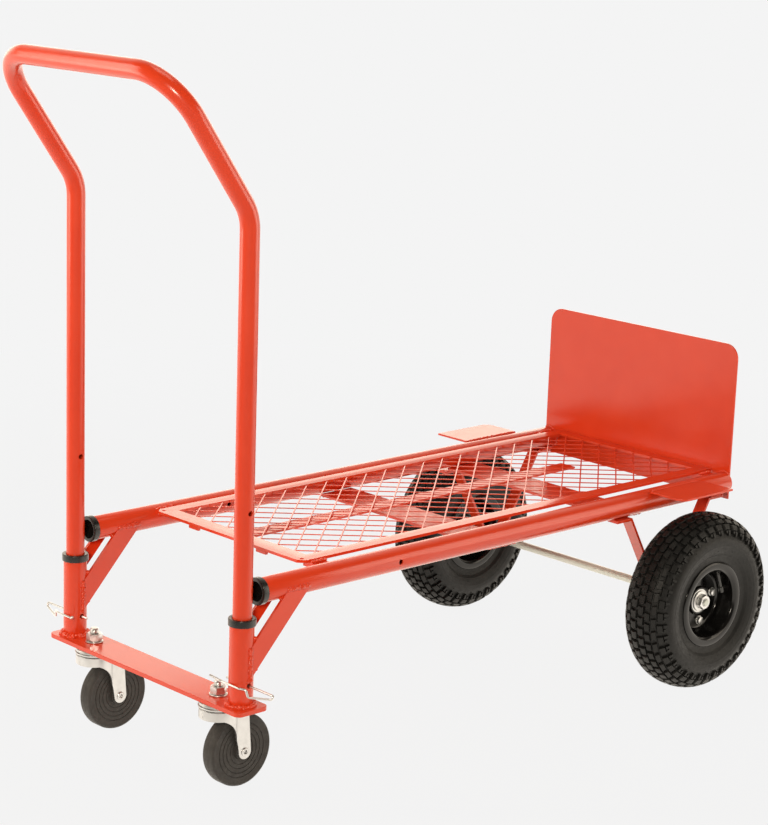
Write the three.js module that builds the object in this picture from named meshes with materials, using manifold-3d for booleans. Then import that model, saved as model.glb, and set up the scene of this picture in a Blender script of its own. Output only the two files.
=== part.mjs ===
// Garden cart: a convertible sack truck in its platform form. Millimetres, +Z up, +X towards the
// toe plate, +Y to the left of a person at the handle. The cart stands on z = 0.
//
// Layout lengths are measured along X from the axis of the sockets that hold the handle; the whole
// group is moved at the end so that the origin is under the middle of the cart.
import * as THREE from 'three';
import { mergeGeometries, mergeVertices } from 'three/addons/utils/BufferGeometryUtils.js';
import Module from 'manifold-3d';

const wasm = await Module();
wasm.setup();

// ---------------------------------------------------------------- driving dimensions

// fits
const gap = 0.3; // between pieces that touch

// round tubes of the welded frame
const tubeDiameter = 32;
const tubeWall = 2;
const tubeSpacing = 352; // rail to rail, socket to socket and handle leg to leg
const railHeight = 273; // axis of the rails
const railSetback = 23; // socket axis to the rear end of the rails
const pinHoleDiameter = 7;
const railHoleInset = 234; // rear end of a rail to its cross hole

// handle
const handleDiameter = 25;
const handleWall = 2;
const handleKinkHeight = 749;
const handleTopHeight = 921.3; // axis of the top bar
const handleSetback = 123.8; // socket axis back to the top bar's axis
const kinkRadius = 60;
const cornerRadius = 65;
const legHoleSpacing = 223; // hitch pin hole to the next hole up

// caster bar and sockets
const barWidth = 52;
const barLength = 404;
const barThickness = 6;
const barCornerRadius = 9;
const barTopHeight = 128.4;
const socketDrop = 32.4; // top of the sockets below the rails' axis
const pinHeight = 157; // hitch pins above the floor
const legLift = 2.5; // handle legs end this far above the bar

// plastic collars on the tube ends
const collarWall = 1.6;
const socketCollarSkirt = 7;
const railCollarSkirt = 6;
const collarLip = 2;
const collarBore = 25.8;

// toe plate and guards
const plateFace = 934; // socket axis to the toe plate's inner face
const plateThickness = 3;
const plateWidth = 370;
const plateHeight = 232.4;
const plateLip = 8.4; // lower edge below the rails
const plateCornerRadius = 22;
const guardLength = 110;
const guardReach = 248; // outer edge from the cart's middle
const guardInset = 10; // inner edge outside the rail's axis
const guardThickness = 3;
const guardShift = 2; // middle of the guard ahead of the axle
const guardCornerRadius = 14;

// straps, gussets and brackets
const strapWidth = 60;
const strapThickness = 4;
const strapInset = 6; // strap's end inside the rail's axis
const rearStrapAt = 470; // middle of each strap from the socket axis
const frontStrapAt = 731;
const gussetThickness = 4;
const gussetSpacing = 28; // between the middles of a pair
const gussetClimb = 47.5; // degrees from the horizontal
const gussetWidth = 27.6;
const gussetDrop = 93.2; // its lower toe at the socket, below the rail's axis
const braceWidth = 17; // the shorter one inside the corner
const braceDrop = 69;
const bracketWidth = 19;
const bracketThickness = 4;
const bracketBend = 16; // inner radius of the cradle
const bracketFoot = 32;
const bracketSlope = 30; // legs from the vertical, degrees
const bracketInset = 2.5; // bracket's middle inside the rail's axis

// deck
const deckRear = 117.3; // socket axis to the deck's rear edge
const deckWidth = 305;
const deckEndGap = 2; // deck to the toe plate
const deckRise = 0.5; // deck's top above the rails
const deckBarThickness = 4;
const deckSideBar = 20;
const deckRearBar = 26;
const deckFrontBar = 20;
const deckChamfer = 9;
const deckHoleDiameter = 6;
const deckHoleInset = 9;
const deckLugWidth = 24;
const deckLugInset = 24;
const deckLugThickness = 6;
const deckTabWidth = 20;
const deckTabSpacing = 140;
const deckTabDrop = 5;
const meshPitchX = 39; // a diamond's length
const meshPitchY = 34.5; // and its width
const meshStrand = 2.2;
const meshLayer = 1.8; // thickness of each of the two layers of strands
const meshStart = 44.8; // where the strands are counted from, ahead of the frame's rear bar
const centreBarWidth = 28;
const centreBarThickness = 3;
const centreBarEnd = 785;

// axle and pneumatic wheels
const axleAt = 808; // socket axis to the axle
const axleDiameter = 12;
const spacerLength = 47.6; // bracket to wheel bearing
const tyreDiameter = 260;
const tyreWidth = 76;
const tyreWall = 6;
const wallReach = 135; // degrees from the crown to the ends of the inner wall
const beadReach = 130; // and of the outer wall
const rimFlangeDiameter = 126;
const rimSeatDiameter = 102;
const rimWidth = 64; // over the flanges
const rimThickness = 2;
const bearingDiameter = 35;
const bearingWidth = 7.5;
const washerDiameter = 30;
const washerThickness = 2;
const axleNutFlats = 19;
const axleNutHeight = 8;
const axleEnd = 2.5; // axle proud of its nut
const spacerDiameter = 20;

// casters
const casterSpacing = 264;
const casterTrail = 32;
const casterDiameter = 98;
const casterWidth = 22;
const casterBush = 16;
const casterPinDiameter = 8;
const casterPinHead = 11;
const casterPinHeadHeight = 1.5;
const forkWall = 2.5;
const forkWidth = 34; // over the arms
const forkEye = 10; // radius round the axle
const forkBrow = 9; // its front edge starts this far behind the stem's axis
const forkLean = 5; // its rear edge leans back from the axle towards the crown
const raceDiameter = 52;
const raceHeight = 9;
const crownDiameter = 50;
const crownHeight = 13;
const stemDiameter = 12;
const stemHeadDiameter = 21;
const stemHeadHeight = 5;
const stemProud = 8; // stem above its nut
const stemNutFlats = 19;
const stemNutHeight = 10;
const stemWasherDiameter = 24;
const stemWasherThickness = 2;

// hitch pins
const wireDiameter = 3;
const pinTip = 48; // closed end beyond the socket's side
const pinTail = 12; // open end beyond the socket's other side
const pinDrop = 9; // how far the returning wire hangs under the straight one

// smoothness: sides of a round piece
const copeSides = 32;
const tyreSides = 24;
const wheelSides = 20;
const tubeSides = 16;
const smallSides = 12;
const boreSides = 8;
const wireSides = 6;

// ---------------------------------------------------------------- places worked out from them

const tubeRadius = tubeDiameter / 2;
const side = tubeSpacing / 2;
const railBottom = railHeight - tubeRadius;
const socketTop = railHeight - socketDrop;
const deckTop = railHeight + tubeRadius + deckRise;
const axleHeight = tyreDiameter / 2;
const strapTop = railHeight - Math.sqrt((tubeRadius + gap) ** 2 - strapInset ** 2);
const strapBottom = strapTop - strapThickness;
const barBottom = barTopHeight - barThickness;
const legBottom = barTopHeight + legLift;
const deckFront = plateFace - deckEndGap;
const deckBottom = deckTop - deckBarThickness;
const bracketSide = side - bracketInset;
const hubFace = gap + bearingWidth; // a bearing's outer side from the wheel's middle
const spacerEnd = hubFace + gap + spacerLength; // a spacer's inner end from the wheel's middle
const wheelTrack = 2 * (bracketSide + bracketWidth / 2 + gap + spacerEnd);
const frontmost = Math.max(plateFace + plateThickness, axleAt + tyreDiameter / 2);
const rearmost = -handleSetback - handleDiameter / 2;

// ---------------------------------------------------------------- materials

const finish = (color, roughness, metalness) =>
  new THREE.MeshStandardMaterial({ color, roughness, metalness });
const redPaint = () => finish(0xe8523a, 0.28, 0.0);
const blackPlastic = () => finish(0x2c2b29, 0.5, 0.0);
const tyreRubber = () => finish(0x33312f, 0.75, 0.0);
const casterRubber = () => finish(0x4b4743, 0.6, 0.0);
const blackEnamel = () => finish(0x141414, 0.25, 0.0);
const zincPlate = () => finish(0xd9d6cc, 0.35, 0.9);

// ---------------------------------------------------------------- helpers

// A solid that can be cut or joined, from a closed three.js geometry.
function toSolid(geometry) {
  const bare = geometry.clone();
  bare.deleteAttribute('normal');
  bare.deleteAttribute('uv');
  const merged = mergeVertices(bare, 1e-4);
  const mesh = new wasm.Mesh({
    numProp: 3,
    vertProperties: new Float32Array(merged.attributes.position.array),
    triVerts: new Uint32Array(merged.index.array),
  });
  return new wasm.Manifold(mesh);
}

function toGeometry(solid) {
  const mesh = solid.getMesh();
  const geometry = new THREE.BufferGeometry();
  geometry.setAttribute('position', new THREE.BufferAttribute(mesh.vertProperties, 3));
  geometry.setIndex(new THREE.BufferAttribute(mesh.triVerts, 1));
  return geometry;
}

function cut(geometry, ...tools) {
  return toGeometry(tools.reduce((solid, tool) => solid.subtract(toSolid(tool)), toSolid(geometry)));
}

function meet(geometry, other) {
  return toGeometry(toSolid(geometry).intersect(toSolid(other)));
}

function join(geometry, ...others) {
  return toGeometry(others.reduce((solid, other) => solid.add(toSolid(other)), toSolid(geometry)));
}

function part(parent, name, geometry, material) {
  const mesh = new THREE.Mesh(geometry, material);
  mesh.name = name;
  parent.add(mesh);
  return mesh;
}

// An upright plate or bar: an outline drawn in (x, z), thick along Y and centred on y = 0.
function extrudeAlongY(shape, thickness, curveSegments = 3) {
  const geometry = extrudeUp(shape, thickness, 0, curveSegments);
  geometry.rotateX(Math.PI / 2);
  geometry.translate(0, thickness / 2, 0);
  return geometry;
}

// A flat plate: an outline drawn in (x, y), from z = bottom upwards.
function extrudeUp(shape, thickness, bottom, curveSegments = 3) {
  const settings = { depth: thickness, bevelEnabled: false, curveSegments };
  return new THREE.ExtrudeGeometry(shape, settings).translate(0, 0, bottom);
}

function polygon(points) {
  const shape = new THREE.Shape();
  points.forEach(([x, y], i) => (i ? shape.lineTo(x, y) : shape.moveTo(x, y)));
  shape.closePath();
  return shape;
}

// A rectangle whose four corners have their own radii, from the lower left anticlockwise.
function roundedRectangle(x0, y0, x1, y1, [r0, r1, r2, r3]) {
  const shape = new THREE.Shape();
  shape.moveTo(x0 + r0, y0);
  shape.lineTo(x1 - r1, y0);
  if (r1) shape.absarc(x1 - r1, y0 + r1, r1, -Math.PI / 2, 0);
  shape.lineTo(x1, y1 - r2);
  if (r2) shape.absarc(x1 - r2, y1 - r2, r2, 0, Math.PI / 2);
  shape.lineTo(x0 + r3, y1);
  if (r3) shape.absarc(x0 + r3, y1 - r3, r3, Math.PI / 2, Math.PI);
  shape.lineTo(x0, y0 + r0);
  if (r0) shape.absarc(x0 + r0, y0 + r0, r0, Math.PI, Math.PI * 1.5);
  return shape;
}

// A ring turned about Z from a closed outline of (radius, height) points.
function turned(points, sides = tubeSides) {
  const outline = [...points, points[0]].map(([r, z]) => new THREE.Vector2(r, z));
  const area = outline.slice(1).reduce((sum, p, i) => sum + outline[i].x * p.y - p.x * outline[i].y, 0);
  if (area < 0) outline.reverse();
  return new THREE.LatheGeometry(outline, sides).rotateX(Math.PI / 2);
}

function ring(inner, outer, bottom, top, sides = smallSides) {
  return turned([[inner, bottom], [outer, bottom], [outer, top], [inner, top]], sides);
}

// A solid bar about the Z axis.
function rod(radius, bottom, top, sides = smallSides) {
  return new THREE.CylinderGeometry(radius, radius, top - bottom, sides)
    .rotateX(Math.PI / 2).translate(0, 0, (top + bottom) / 2);
}

// A cutter along Y through (x, z).
function crossDrill(diameter, x, z, length, sides = boreSides) {
  return new THREE.CylinderGeometry(diameter / 2, diameter / 2, length, sides).translate(x, 0, z);
}

function roundOutline(radius, sides) {
  const angles = Array.from({ length: sides }, (_, i) => i / sides * Math.PI * 2);
  return new THREE.Shape(angles.map((a) => new THREE.Vector2(radius * Math.cos(a), radius * Math.sin(a))));
}

function annulus(outer, inner, outerSides, innerSides) {
  const shape = roundOutline(outer, outerSides);
  shape.holes.push(roundOutline(inner, innerSides));
  return shape;
}

function hexagon(flats, hole, bottom, height) {
  return extrudeUp(annulus(flats / Math.sqrt(3), hole / 2, 6, smallSides), height, bottom);
}

// The axis of a bent tube: straight runs through the given corners, each rounded to its own radius.
// It has stations only at its ends and along its bends.
class BentAxis extends THREE.Curve {
  constructor(corners, radii, stepsPerBend) {
    super();
    this.stations = [];
    const add = (point, tangent) => this.stations.push({ point, tangent });
    corners.forEach((corner, i) => {
      const before = corners[i - 1];
      const after = corners[i + 1];
      const into = before && corner.clone().sub(before).normalize();
      const out = after && after.clone().sub(corner).normalize();
      if (!before || !after) return add(corner, into || out);
      const turn = into.angleTo(out);
      const radius = radii[i - 1];
      const start = corner.clone().addScaledVector(into, -radius * Math.tan(turn / 2));
      const inward = out.clone().addScaledVector(into, -out.dot(into)).normalize();
      const steps = stepsPerBend[i - 1];
      for (let s = 0; s <= steps; s++) {
        const angle = turn * s / steps;
        const point = start.clone().addScaledVector(into, radius * Math.sin(angle))
          .addScaledVector(inward, radius * (1 - Math.cos(angle)));
        add(point, into.clone().multiplyScalar(Math.cos(angle)).addScaledVector(inward, Math.sin(angle)));
      }
      return undefined;
    });
  }

  get steps() {
    return this.stations.length - 1;
  }

  station(u) {
    return this.stations[Math.round(u * this.steps)];
  }

  getPoint(u, target = new THREE.Vector3()) {
    return target.copy(this.station(u).point);
  }

  getPointAt(u, target) {
    return this.getPoint(u, target);
  }

  getTangentAt(u, target = new THREE.Vector3()) {
    return target.copy(this.station(u).tangent);
  }
}

function sweep(section, axis) {
  return new THREE.ExtrudeGeometry(section, { extrudePath: axis, steps: axis.steps });
}

const sides = [['left', 1], ['right', -1]];

// ---------------------------------------------------------------- welded frame

const frameTube = annulus(tubeRadius, tubeRadius - tubeWall, tubeSides, boreSides);

function rail() {
  const length = plateFace - gap - railSetback;
  const tube = extrudeUp(frameTube, length, 0);
  tube.rotateY(Math.PI / 2).translate(railSetback, 0, railHeight);
  return cut(tube, crossDrill(pinHoleDiameter, railSetback + railHoleInset, railHeight, tubeDiameter * 2));
}

function socket() {
  const bottom = barTopHeight + gap;
  const tube = extrudeUp(frameTube, socketTop - bottom, bottom);
  return cut(tube, crossDrill(pinHoleDiameter, 0, pinHeight, tubeDiameter * 2));
}

// Pushed over a tube's end; the end is at z = 0 and the lip stands above it.
function collar(length) {
  const skirt = tubeRadius + gap;
  const outer = skirt + collarWall;
  const top = gap + collarLip;
  const edge = collarWall / 2;
  return turned([
    [collarBore / 2, gap], [skirt, gap], [skirt, -length], [outer, -length],
    [outer, top - edge], [outer - edge, top], [collarBore / 2, top],
  ]);
}

// A flat bar across the corner of a rail and its socket, beside their common plane, with its ends
// coped to both tubes. It climbs from its lower toe at the socket's front.
function cornerBar(drop, width, offset) {
  const climb = THREE.MathUtils.degToRad(gussetClimb);
  const start = railHeight - drop - tubeRadius * Math.tan(climb);
  const reach = (railHeight - start) / Math.tan(climb);
  const bar = polygon([
    [0, start], [reach, railHeight], [reach - width / Math.sin(climb), railHeight],
    [0, start + width / Math.cos(climb)],
  ]);
  const underRail = new THREE.CylinderGeometry(tubeRadius + gap, tubeRadius + gap, barLength * 2, copeSides)
    .rotateZ(Math.PI / 2).translate(0, -offset, railHeight);
  const roundSocket = rod(tubeRadius + gap, 0, railHeight * 2, copeSides).translate(0, -offset, 0);
  return cut(extrudeAlongY(bar, gussetThickness), underRail, roundSocket).translate(0, offset, 0);
}

function casterBar() {
  const half = barWidth / 2;
  const plate = extrudeUp(roundedRectangle(-half, -barLength / 2, half, barLength / 2,
    Array(4).fill(barCornerRadius)), barThickness, barBottom, 2);
  const holes = sides.map(([, sign]) =>
    rod(stemDiameter / 2 + gap, 0, barTopHeight * 2).translate(0, sign * casterSpacing / 2, 0));
  return cut(plate, ...holes);
}

function toePlate() {
  const half = plateWidth / 2;
  const bottom = railBottom - plateLip;
  const outline = roundedRectangle(-half, bottom, half, bottom + plateHeight,
    [0, 0, plateCornerRadius, plateCornerRadius]);
  return extrudeAlongY(outline, plateThickness).rotateZ(Math.PI / 2)
    .translate(plateFace + plateThickness / 2, 0, 0);
}

// Rests on the rail's shoulder. The same plate serves both sides, turned round, so that its one
// rounded corner is at the rear on the right and at the front on the left.
function guard(sign) {
  const middle = axleAt + guardShift;
  const inner = side + guardInset;
  const shoulder = Math.sqrt((tubeRadius + gap) ** 2 - guardInset ** 2);
  const corners = sign > 0 ? [0, 0, guardCornerRadius, 0] : [guardCornerRadius, 0, 0, 0];
  const [y0, y1] = sign > 0 ? [inner, guardReach] : [-guardReach, -inner];
  return extrudeUp(roundedRectangle(middle - guardLength / 2, y0, middle + guardLength / 2, y1, corners),
    guardThickness, railHeight + shoulder);
}

function strap() {
  return new THREE.BoxGeometry(strapWidth, tubeSpacing - 2 * strapInset, strapThickness);
}

// A flat bar bent to a V that cradles the axle; its rear foot lies under the front strap and its
// front foot under the rail.
function axleBracket() {
  const slope = THREE.MathUtils.degToRad(bracketSlope);
  const bendHeight = axleHeight - axleDiameter / 2 - gap + bracketBend;
  const along = [Math.sin(slope), Math.cos(slope)];
  const across = [Math.cos(slope), -Math.sin(slope)];
  const leg = (radius, height, sign) => {
    const start = [across[0] * radius, bendHeight + across[1] * radius];
    const rise = (height - start[1]) / along[1];
    return [sign * (start[0] + along[0] * rise), height];
  };
  const shape = new THREE.Shape();
  const inner = bracketBend;
  const outer = bracketBend + bracketThickness;
  const rearTop = strapBottom - gap;
  const frontTop = railBottom - gap;
  const rearOuter = leg(outer, rearTop - bracketThickness, -1);
  const rearInner = leg(inner, rearTop, -1);
  const frontOuter = leg(outer, frontTop - bracketThickness, 1);
  const frontInner = leg(inner, frontTop, 1);
  shape.moveTo(rearInner[0], rearInner[1]);
  shape.lineTo(rearInner[0] - bracketFoot, rearTop);
  shape.lineTo(rearInner[0] - bracketFoot, rearTop - bracketThickness);
  shape.lineTo(rearOuter[0], rearOuter[1]);
  shape.absarc(0, bendHeight, outer, Math.PI + slope, -slope, false);
  shape.lineTo(frontOuter[0], frontOuter[1]);
  shape.lineTo(frontInner[0] + bracketFoot, frontTop - bracketThickness);
  shape.lineTo(frontInner[0] + bracketFoot, frontTop);
  shape.lineTo(frontInner[0], frontInner[1]);
  shape.absarc(0, bendHeight, inner, -slope, Math.PI + slope, true);
  return extrudeAlongY(shape, bracketWidth, 5).translate(axleAt, 0, 0);
}

// ---------------------------------------------------------------- deck

const deckHalf = deckWidth / 2;
const openRear = deckRear + deckRearBar;
const openFront = deckFront - deckFrontBar;
const openHalf = deckHalf - deckSideBar;

// Flat bars welded to a rectangle, with lugs that reach the rails and two tabs under the rear bar.
function deckFrame() {
  const outline = polygon([
    [deckRear, deckHalf - deckChamfer], [deckRear, -deckHalf + deckChamfer],
    [deckRear + deckChamfer, -deckHalf], [deckFront, -deckHalf],
    [deckFront, deckHalf], [deckRear + deckChamfer, deckHalf],
  ]);
  outline.holes.push(new THREE.Path([
    [openRear, -openHalf], [openRear, openHalf], [openFront, openHalf], [openFront, -openHalf],
  ].map(([x, y]) => new THREE.Vector2(x, y))));
  const bars = extrudeUp(outline, deckBarThickness, deckBottom);
  const lugs = [];
  const lugRoot = deckHalf - deckSideBar / 2;
  for (const at of [deckRear + deckLugInset, deckFront - deckLugInset]) {
    for (const [, sign] of sides) {
      lugs.push(new THREE.BoxGeometry(deckLugWidth, side - lugRoot, deckLugThickness + 1)
        .translate(at, sign * (side + lugRoot) / 2, deckBottom - (deckLugThickness - 1) / 2));
    }
  }
  const tabs = sides.map(([, sign]) =>
    new THREE.BoxGeometry(deckBarThickness, deckTabWidth, deckTabDrop + 1)
      .translate(deckRear + deckBarThickness, sign * deckTabSpacing / 2,
        deckBottom - (deckTabDrop - 1) / 2));
  const rails = sides.map(([, sign]) =>
    new THREE.CylinderGeometry(tubeRadius + gap, tubeRadius + gap, plateFace * 3, copeSides)
      .rotateZ(Math.PI / 2).translate(0, sign * side, railHeight));
  const holes = sides.map(([, sign]) => rod(deckHoleDiameter / 2, 0, deckTop * 2, boreSides)
    .translate(deckRear + deckHoleInset, sign * (deckHalf - deckHoleInset), 0));
  return cut(join(bars, ...lugs, ...tabs), ...rails, ...holes);
}

// The part of a convex outline inside an upright rectangle.
function clipped(outline, [x0, y0, x1, y1]) {
  let points = outline;
  for (const [nx, ny, offset] of [[1, 0, x0], [-1, 0, -x1], [0, 1, y0], [0, -1, -y1]]) {
    const depth = ([x, y]) => x * nx + y * ny - offset;
    points = points.flatMap((p, i) => {
      const q = points[(i + 1) % points.length];
      const [from, to] = [depth(p), depth(q)];
      const kept = from >= 0 ? [p] : [];
      if (from * to < 0) kept.push([0, 1].map((k) => p[k] + (q[k] - p[k]) * from / (from - to)));
      return kept;
    });
  }
  return points;
}

// Welded diamond mesh: a layer of slanting strands on a layer that slants the other way, let in
// between the frame's bars.
function deckMesh() {
  const field = [openRear + gap, -openHalf + gap, openFront - gap, openHalf - gap];
  const reach = 2 * (openHalf - gap);
  const lean = reach * meshPitchX / meshPitchY; // how far a strand runs along X from edge to edge
  const breadth = meshStrand * Math.hypot(meshPitchX, meshPitchY) / meshPitchY; // strand's width along X
  const shortest = meshPitchX / 2 + breadth; // a shorter strand could miss the other layer
  const strands = [];
  for (const [slant, bottom] of [[1, deckBottom + meshLayer], [-1, deckBottom]]) {
    const first = openRear + meshStart - Math.ceil(lean / meshPitchX) * meshPitchX;
    for (let x = first; x < field[2] + lean / 2; x += meshPitchX) {
      const start = x - slant * lean / 2;
      const strand = clipped([
        [start, -reach / 2], [start + breadth, -reach / 2],
        [start + slant * lean + breadth, reach / 2], [start + slant * lean, reach / 2],
      ], field);
      const ends = strand.map(([end]) => end);
      if (Math.max(...ends) - Math.min(...ends) > shortest) {
        strands.push(extrudeUp(polygon(strand), meshLayer, bottom));
      }
    }
  }
  return join(...strands);
}

// A flat bar under the mesh and the frame's rear bar.
function centreBar() {
  const rear = deckRear + 2 * deckBarThickness;
  return new THREE.BoxGeometry(centreBarEnd - rear, centreBarWidth, centreBarThickness)
    .translate((centreBarEnd + rear) / 2, 0, deckBottom - gap - centreBarThickness / 2);
}

// ---------------------------------------------------------------- handle and hitch pins

function handle() {
  const corner = (x, y, z) => new THREE.Vector3(x, y, z);
  const axis = new BentAxis([
    corner(0, side, legBottom), corner(0, side, handleKinkHeight),
    corner(-handleSetback, side, handleTopHeight), corner(-handleSetback, -side, handleTopHeight),
    corner(0, -side, handleKinkHeight), corner(0, -side, legBottom),
  ], [kinkRadius, cornerRadius, cornerRadius, kinkRadius], [2, 5, 5, 2]);
  const radius = handleDiameter / 2;
  const tube = sweep(annulus(radius, radius - handleWall, tubeSides, boreSides), axis);
  const drills = [pinHeight, pinHeight + legHoleSpacing].map((z) =>
    crossDrill(pinHoleDiameter, 0, z, tubeSpacing * 2));
  return cut(tube, ...drills);
}

// Spring wire bent back on itself: one leg goes through the socket, the other lies against its
// rear. The closed tip points away from the cart; drawn about the socket's axis.
function hitchPin(sign) {
  const round = tubeRadius + wireDiameter / 2 + gap;
  const tip = tubeRadius + pinTip;
  const tail = -tubeRadius - pinTail;
  const shoulder = tubeRadius + 12; // where the returning leg steps up to the straight one
  const corner = (x, y, z) => new THREE.Vector3(x, sign * y, pinHeight + z);
  const axis = new BentAxis([
    corner(0, tail, 0), corner(0, tip, 0), corner(-2, tip - 3, -wireDiameter - 2),
    corner(-12, shoulder, -pinDrop), corner(-14, shoulder - 2, 1),
    corner(-round, tubeRadius, 1), corner(-round, -tubeRadius - 2, 1),
    corner(-round - 9, tail - 2, 8),
  ], [2, 2, 3, 3, 3, 8], [2, 2, 2, 2, 1, 2]);
  return sweep(roundOutline(wireDiameter / 2, wireSides), axis);
}

// ---------------------------------------------------------------- casters

const forkTop = barBottom - raceHeight - 2 * gap;

// A pressed fork: a round crown whose skirt runs into two arms, seen from above as a U that is
// closed at the front, its lower edge swept back to the axle.
function casterFork() {
  const [eyeX, eyeZ] = [casterTrail, casterDiameter / 2];
  const skirt = forkTop - crownHeight;
  const arms = new THREE.Shape();
  arms.moveTo(-crownDiameter / 2, forkTop);
  arms.lineTo(-crownDiameter / 2, skirt);
  arms.lineTo(-forkBrow, skirt);
  arms.quadraticCurveTo(eyeX - forkEye - forkLean, skirt - forkBrow, eyeX - forkEye, eyeZ);
  arms.absarc(eyeX, eyeZ, forkEye, Math.PI, Math.PI * 2, false);
  arms.lineTo(eyeX + forkEye - forkLean, forkTop);
  const plan = (half, bottom, top) => {
    const outline = new THREE.Shape().absarc(0, 0, half, Math.PI / 2, Math.PI * 1.5, false);
    outline.lineTo(casterDiameter, -half);
    outline.lineTo(casterDiameter, half);
    return extrudeUp(outline, top - bottom, bottom, 5);
  };
  const shell = meet(extrudeAlongY(arms, forkWidth * 2, 4), plan(forkWidth / 2, 0, forkTop - forkWall / 2));
  const crown = rod(crownDiameter / 2, skirt, forkTop, tubeSides);
  const inside = plan(forkWidth / 2 - forkWall, 0, forkTop - forkWall);
  const underCrown = rod(crownDiameter / 2 - forkWall, skirt - 1, forkTop - forkWall, tubeSides);
  const kingHole = rod(stemDiameter / 2 + gap, skirt, forkTop + 1);
  const pinHole = crossDrill(casterPinDiameter + 2 * gap, eyeX, eyeZ, 2 * forkWidth, smallSides);
  return cut(join(crown, shell), inside, underCrown, kingHole, pinHole);
}

// The upper race, bolted to the bar: a shallow dish whose rim comes down over the fork's race.
function casterRace() {
  const top = barBottom - gap;
  const bottom = top - raceHeight;
  const outer = raceDiameter / 2;
  return turned([
    [stemDiameter / 2 + gap, bottom], [outer - 2, bottom], [outer, bottom + 3],
    [outer - 4, top], [stemDiameter / 2 + gap, top],
  ], tubeSides);
}

function casterStem() {
  const headTop = forkTop - forkWall - gap;
  const top = barTopHeight + stemWasherThickness + stemNutHeight + stemProud;
  return new THREE.LatheGeometry([
    [0, headTop - stemHeadHeight], [stemHeadDiameter / 2, headTop - stemHeadHeight],
    [stemHeadDiameter / 2, headTop], [stemDiameter / 2, headTop],
    [stemDiameter / 2, top], [0, top],
  ].map(([r, z]) => new THREE.Vector2(r, z)), smallSides).rotateX(Math.PI / 2);
}

function casterWheel() {
  const outer = casterDiameter / 2;
  const half = casterWidth / 2;
  const groove = outer * 0.72;
  const hub = casterBush / 2 + 4;
  const bore = casterPinDiameter / 2 + gap;
  const hubHalf = forkWidth / 2 - forkWall - gap;
  const face = (sign) => [
    [bore, sign * hubHalf], [hub, sign * hubHalf],
    [hub, sign * (half - 1)], [groove, sign * (half - 1)], [outer - 3, sign * half],
    [outer, sign * (half - 4)],
  ];
  return turned([...face(-1), ...face(1).reverse()], wheelSides).rotateX(Math.PI / 2);
}

function casterPin() {
  const half = forkWidth / 2 + gap;
  const shank = casterPinDiameter / 2;
  const head = casterPinHead / 2;
  const end = half + casterPinHeadHeight;
  return new THREE.LatheGeometry([
    [0, -end], [head, -end], [head, -half], [shank, -half],
    [shank, half], [head, half], [head, end], [0, end],
  ].map(([r, z]) => new THREE.Vector2(r, z)), smallSides);
}

// ---------------------------------------------------------------- pneumatic wheels
// Drawn about the Y axis with the wheel's middle at y = 0 and its outer face at +Y.

const sectionRadial = (tyreDiameter - rimFlangeDiameter) / 4 + 1;
const sectionCentre = tyreDiameter / 2 - sectionRadial;

// Points of a squarish oval of the tyre's section, from one angle to another.
function sectionArc(radial, half, from, to, steps) {
  const power = 2 / 2.3;
  const points = [];
  for (let i = 0; i <= steps; i++) {
    const angle = THREE.MathUtils.degToRad(from + (to - from) * i / steps);
    const c = Math.cos(angle);
    const s = Math.sin(angle);
    points.push([
      sectionCentre + radial * Math.sign(c) * Math.abs(c) ** power,
      half * Math.sign(s) * Math.abs(s) ** power,
    ]);
  }
  return points;
}

function tyre() {
  const beadHalf = rimWidth / 2 - rimThickness - gap;
  const seat = rimSeatDiameter / 2 + 2 * gap;
  const wallHalf = tyreWidth / 2;
  const outside = sectionArc(sectionRadial, wallHalf, -beadReach, beadReach, 8);
  const inside = sectionArc(sectionRadial - tyreWall, wallHalf - tyreWall, wallReach, -wallReach, 4);
  return turned([
    [seat, -beadHalf], ...outside, [seat, beadHalf], [seat, beadHalf - tyreWall - 2],
    ...inside, [seat, -beadHalf + tyreWall + 2],
  ], tyreSides).rotateX(Math.PI / 2);
}

// Blown up against the tyre's inner wall.
function innerTube() {
  const margin = tyreWall + gap;
  const section = [
    ...sectionArc(sectionRadial - margin, tyreWidth / 2 - margin, -wallReach, wallReach, 4),
    [sectionCentre - sectionRadial + tyreWall + 2, 0],
  ];
  return turned(section, tyreSides).rotateX(Math.PI / 2);
}

// One pressed half of the split rim: bearing seat, flat disc, drop and bead flange.
function rimHalf(sign) {
  const t = rimThickness;
  const housing = bearingDiameter / 2 + gap;
  const well = rimSeatDiameter / 2;
  const flange = rimFlangeDiameter / 2;
  const edge = rimWidth / 2;
  const joint = gap / 2; // each half stands back from the middle
  const outline = [
    [housing, joint], [well - 6, joint], [well, edge - t], [flange, edge - t], [flange, edge],
    [well - t, edge], [well - 6 - t, joint + t], [housing + t, joint + t],
    [housing + t, hubFace], [housing, hubFace],
  ].map(([r, y]) => [r, -sign * y]);
  return turned(outline, wheelSides).rotateX(Math.PI / 2);
}

function bearing() {
  return turned([
    [axleDiameter / 2 + gap, 0], [bearingDiameter / 2, 0], [bearingDiameter / 2, bearingWidth],
    [axleDiameter / 2 + gap, bearingWidth],
  ], smallSides).rotateX(Math.PI / 2);
}

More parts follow.
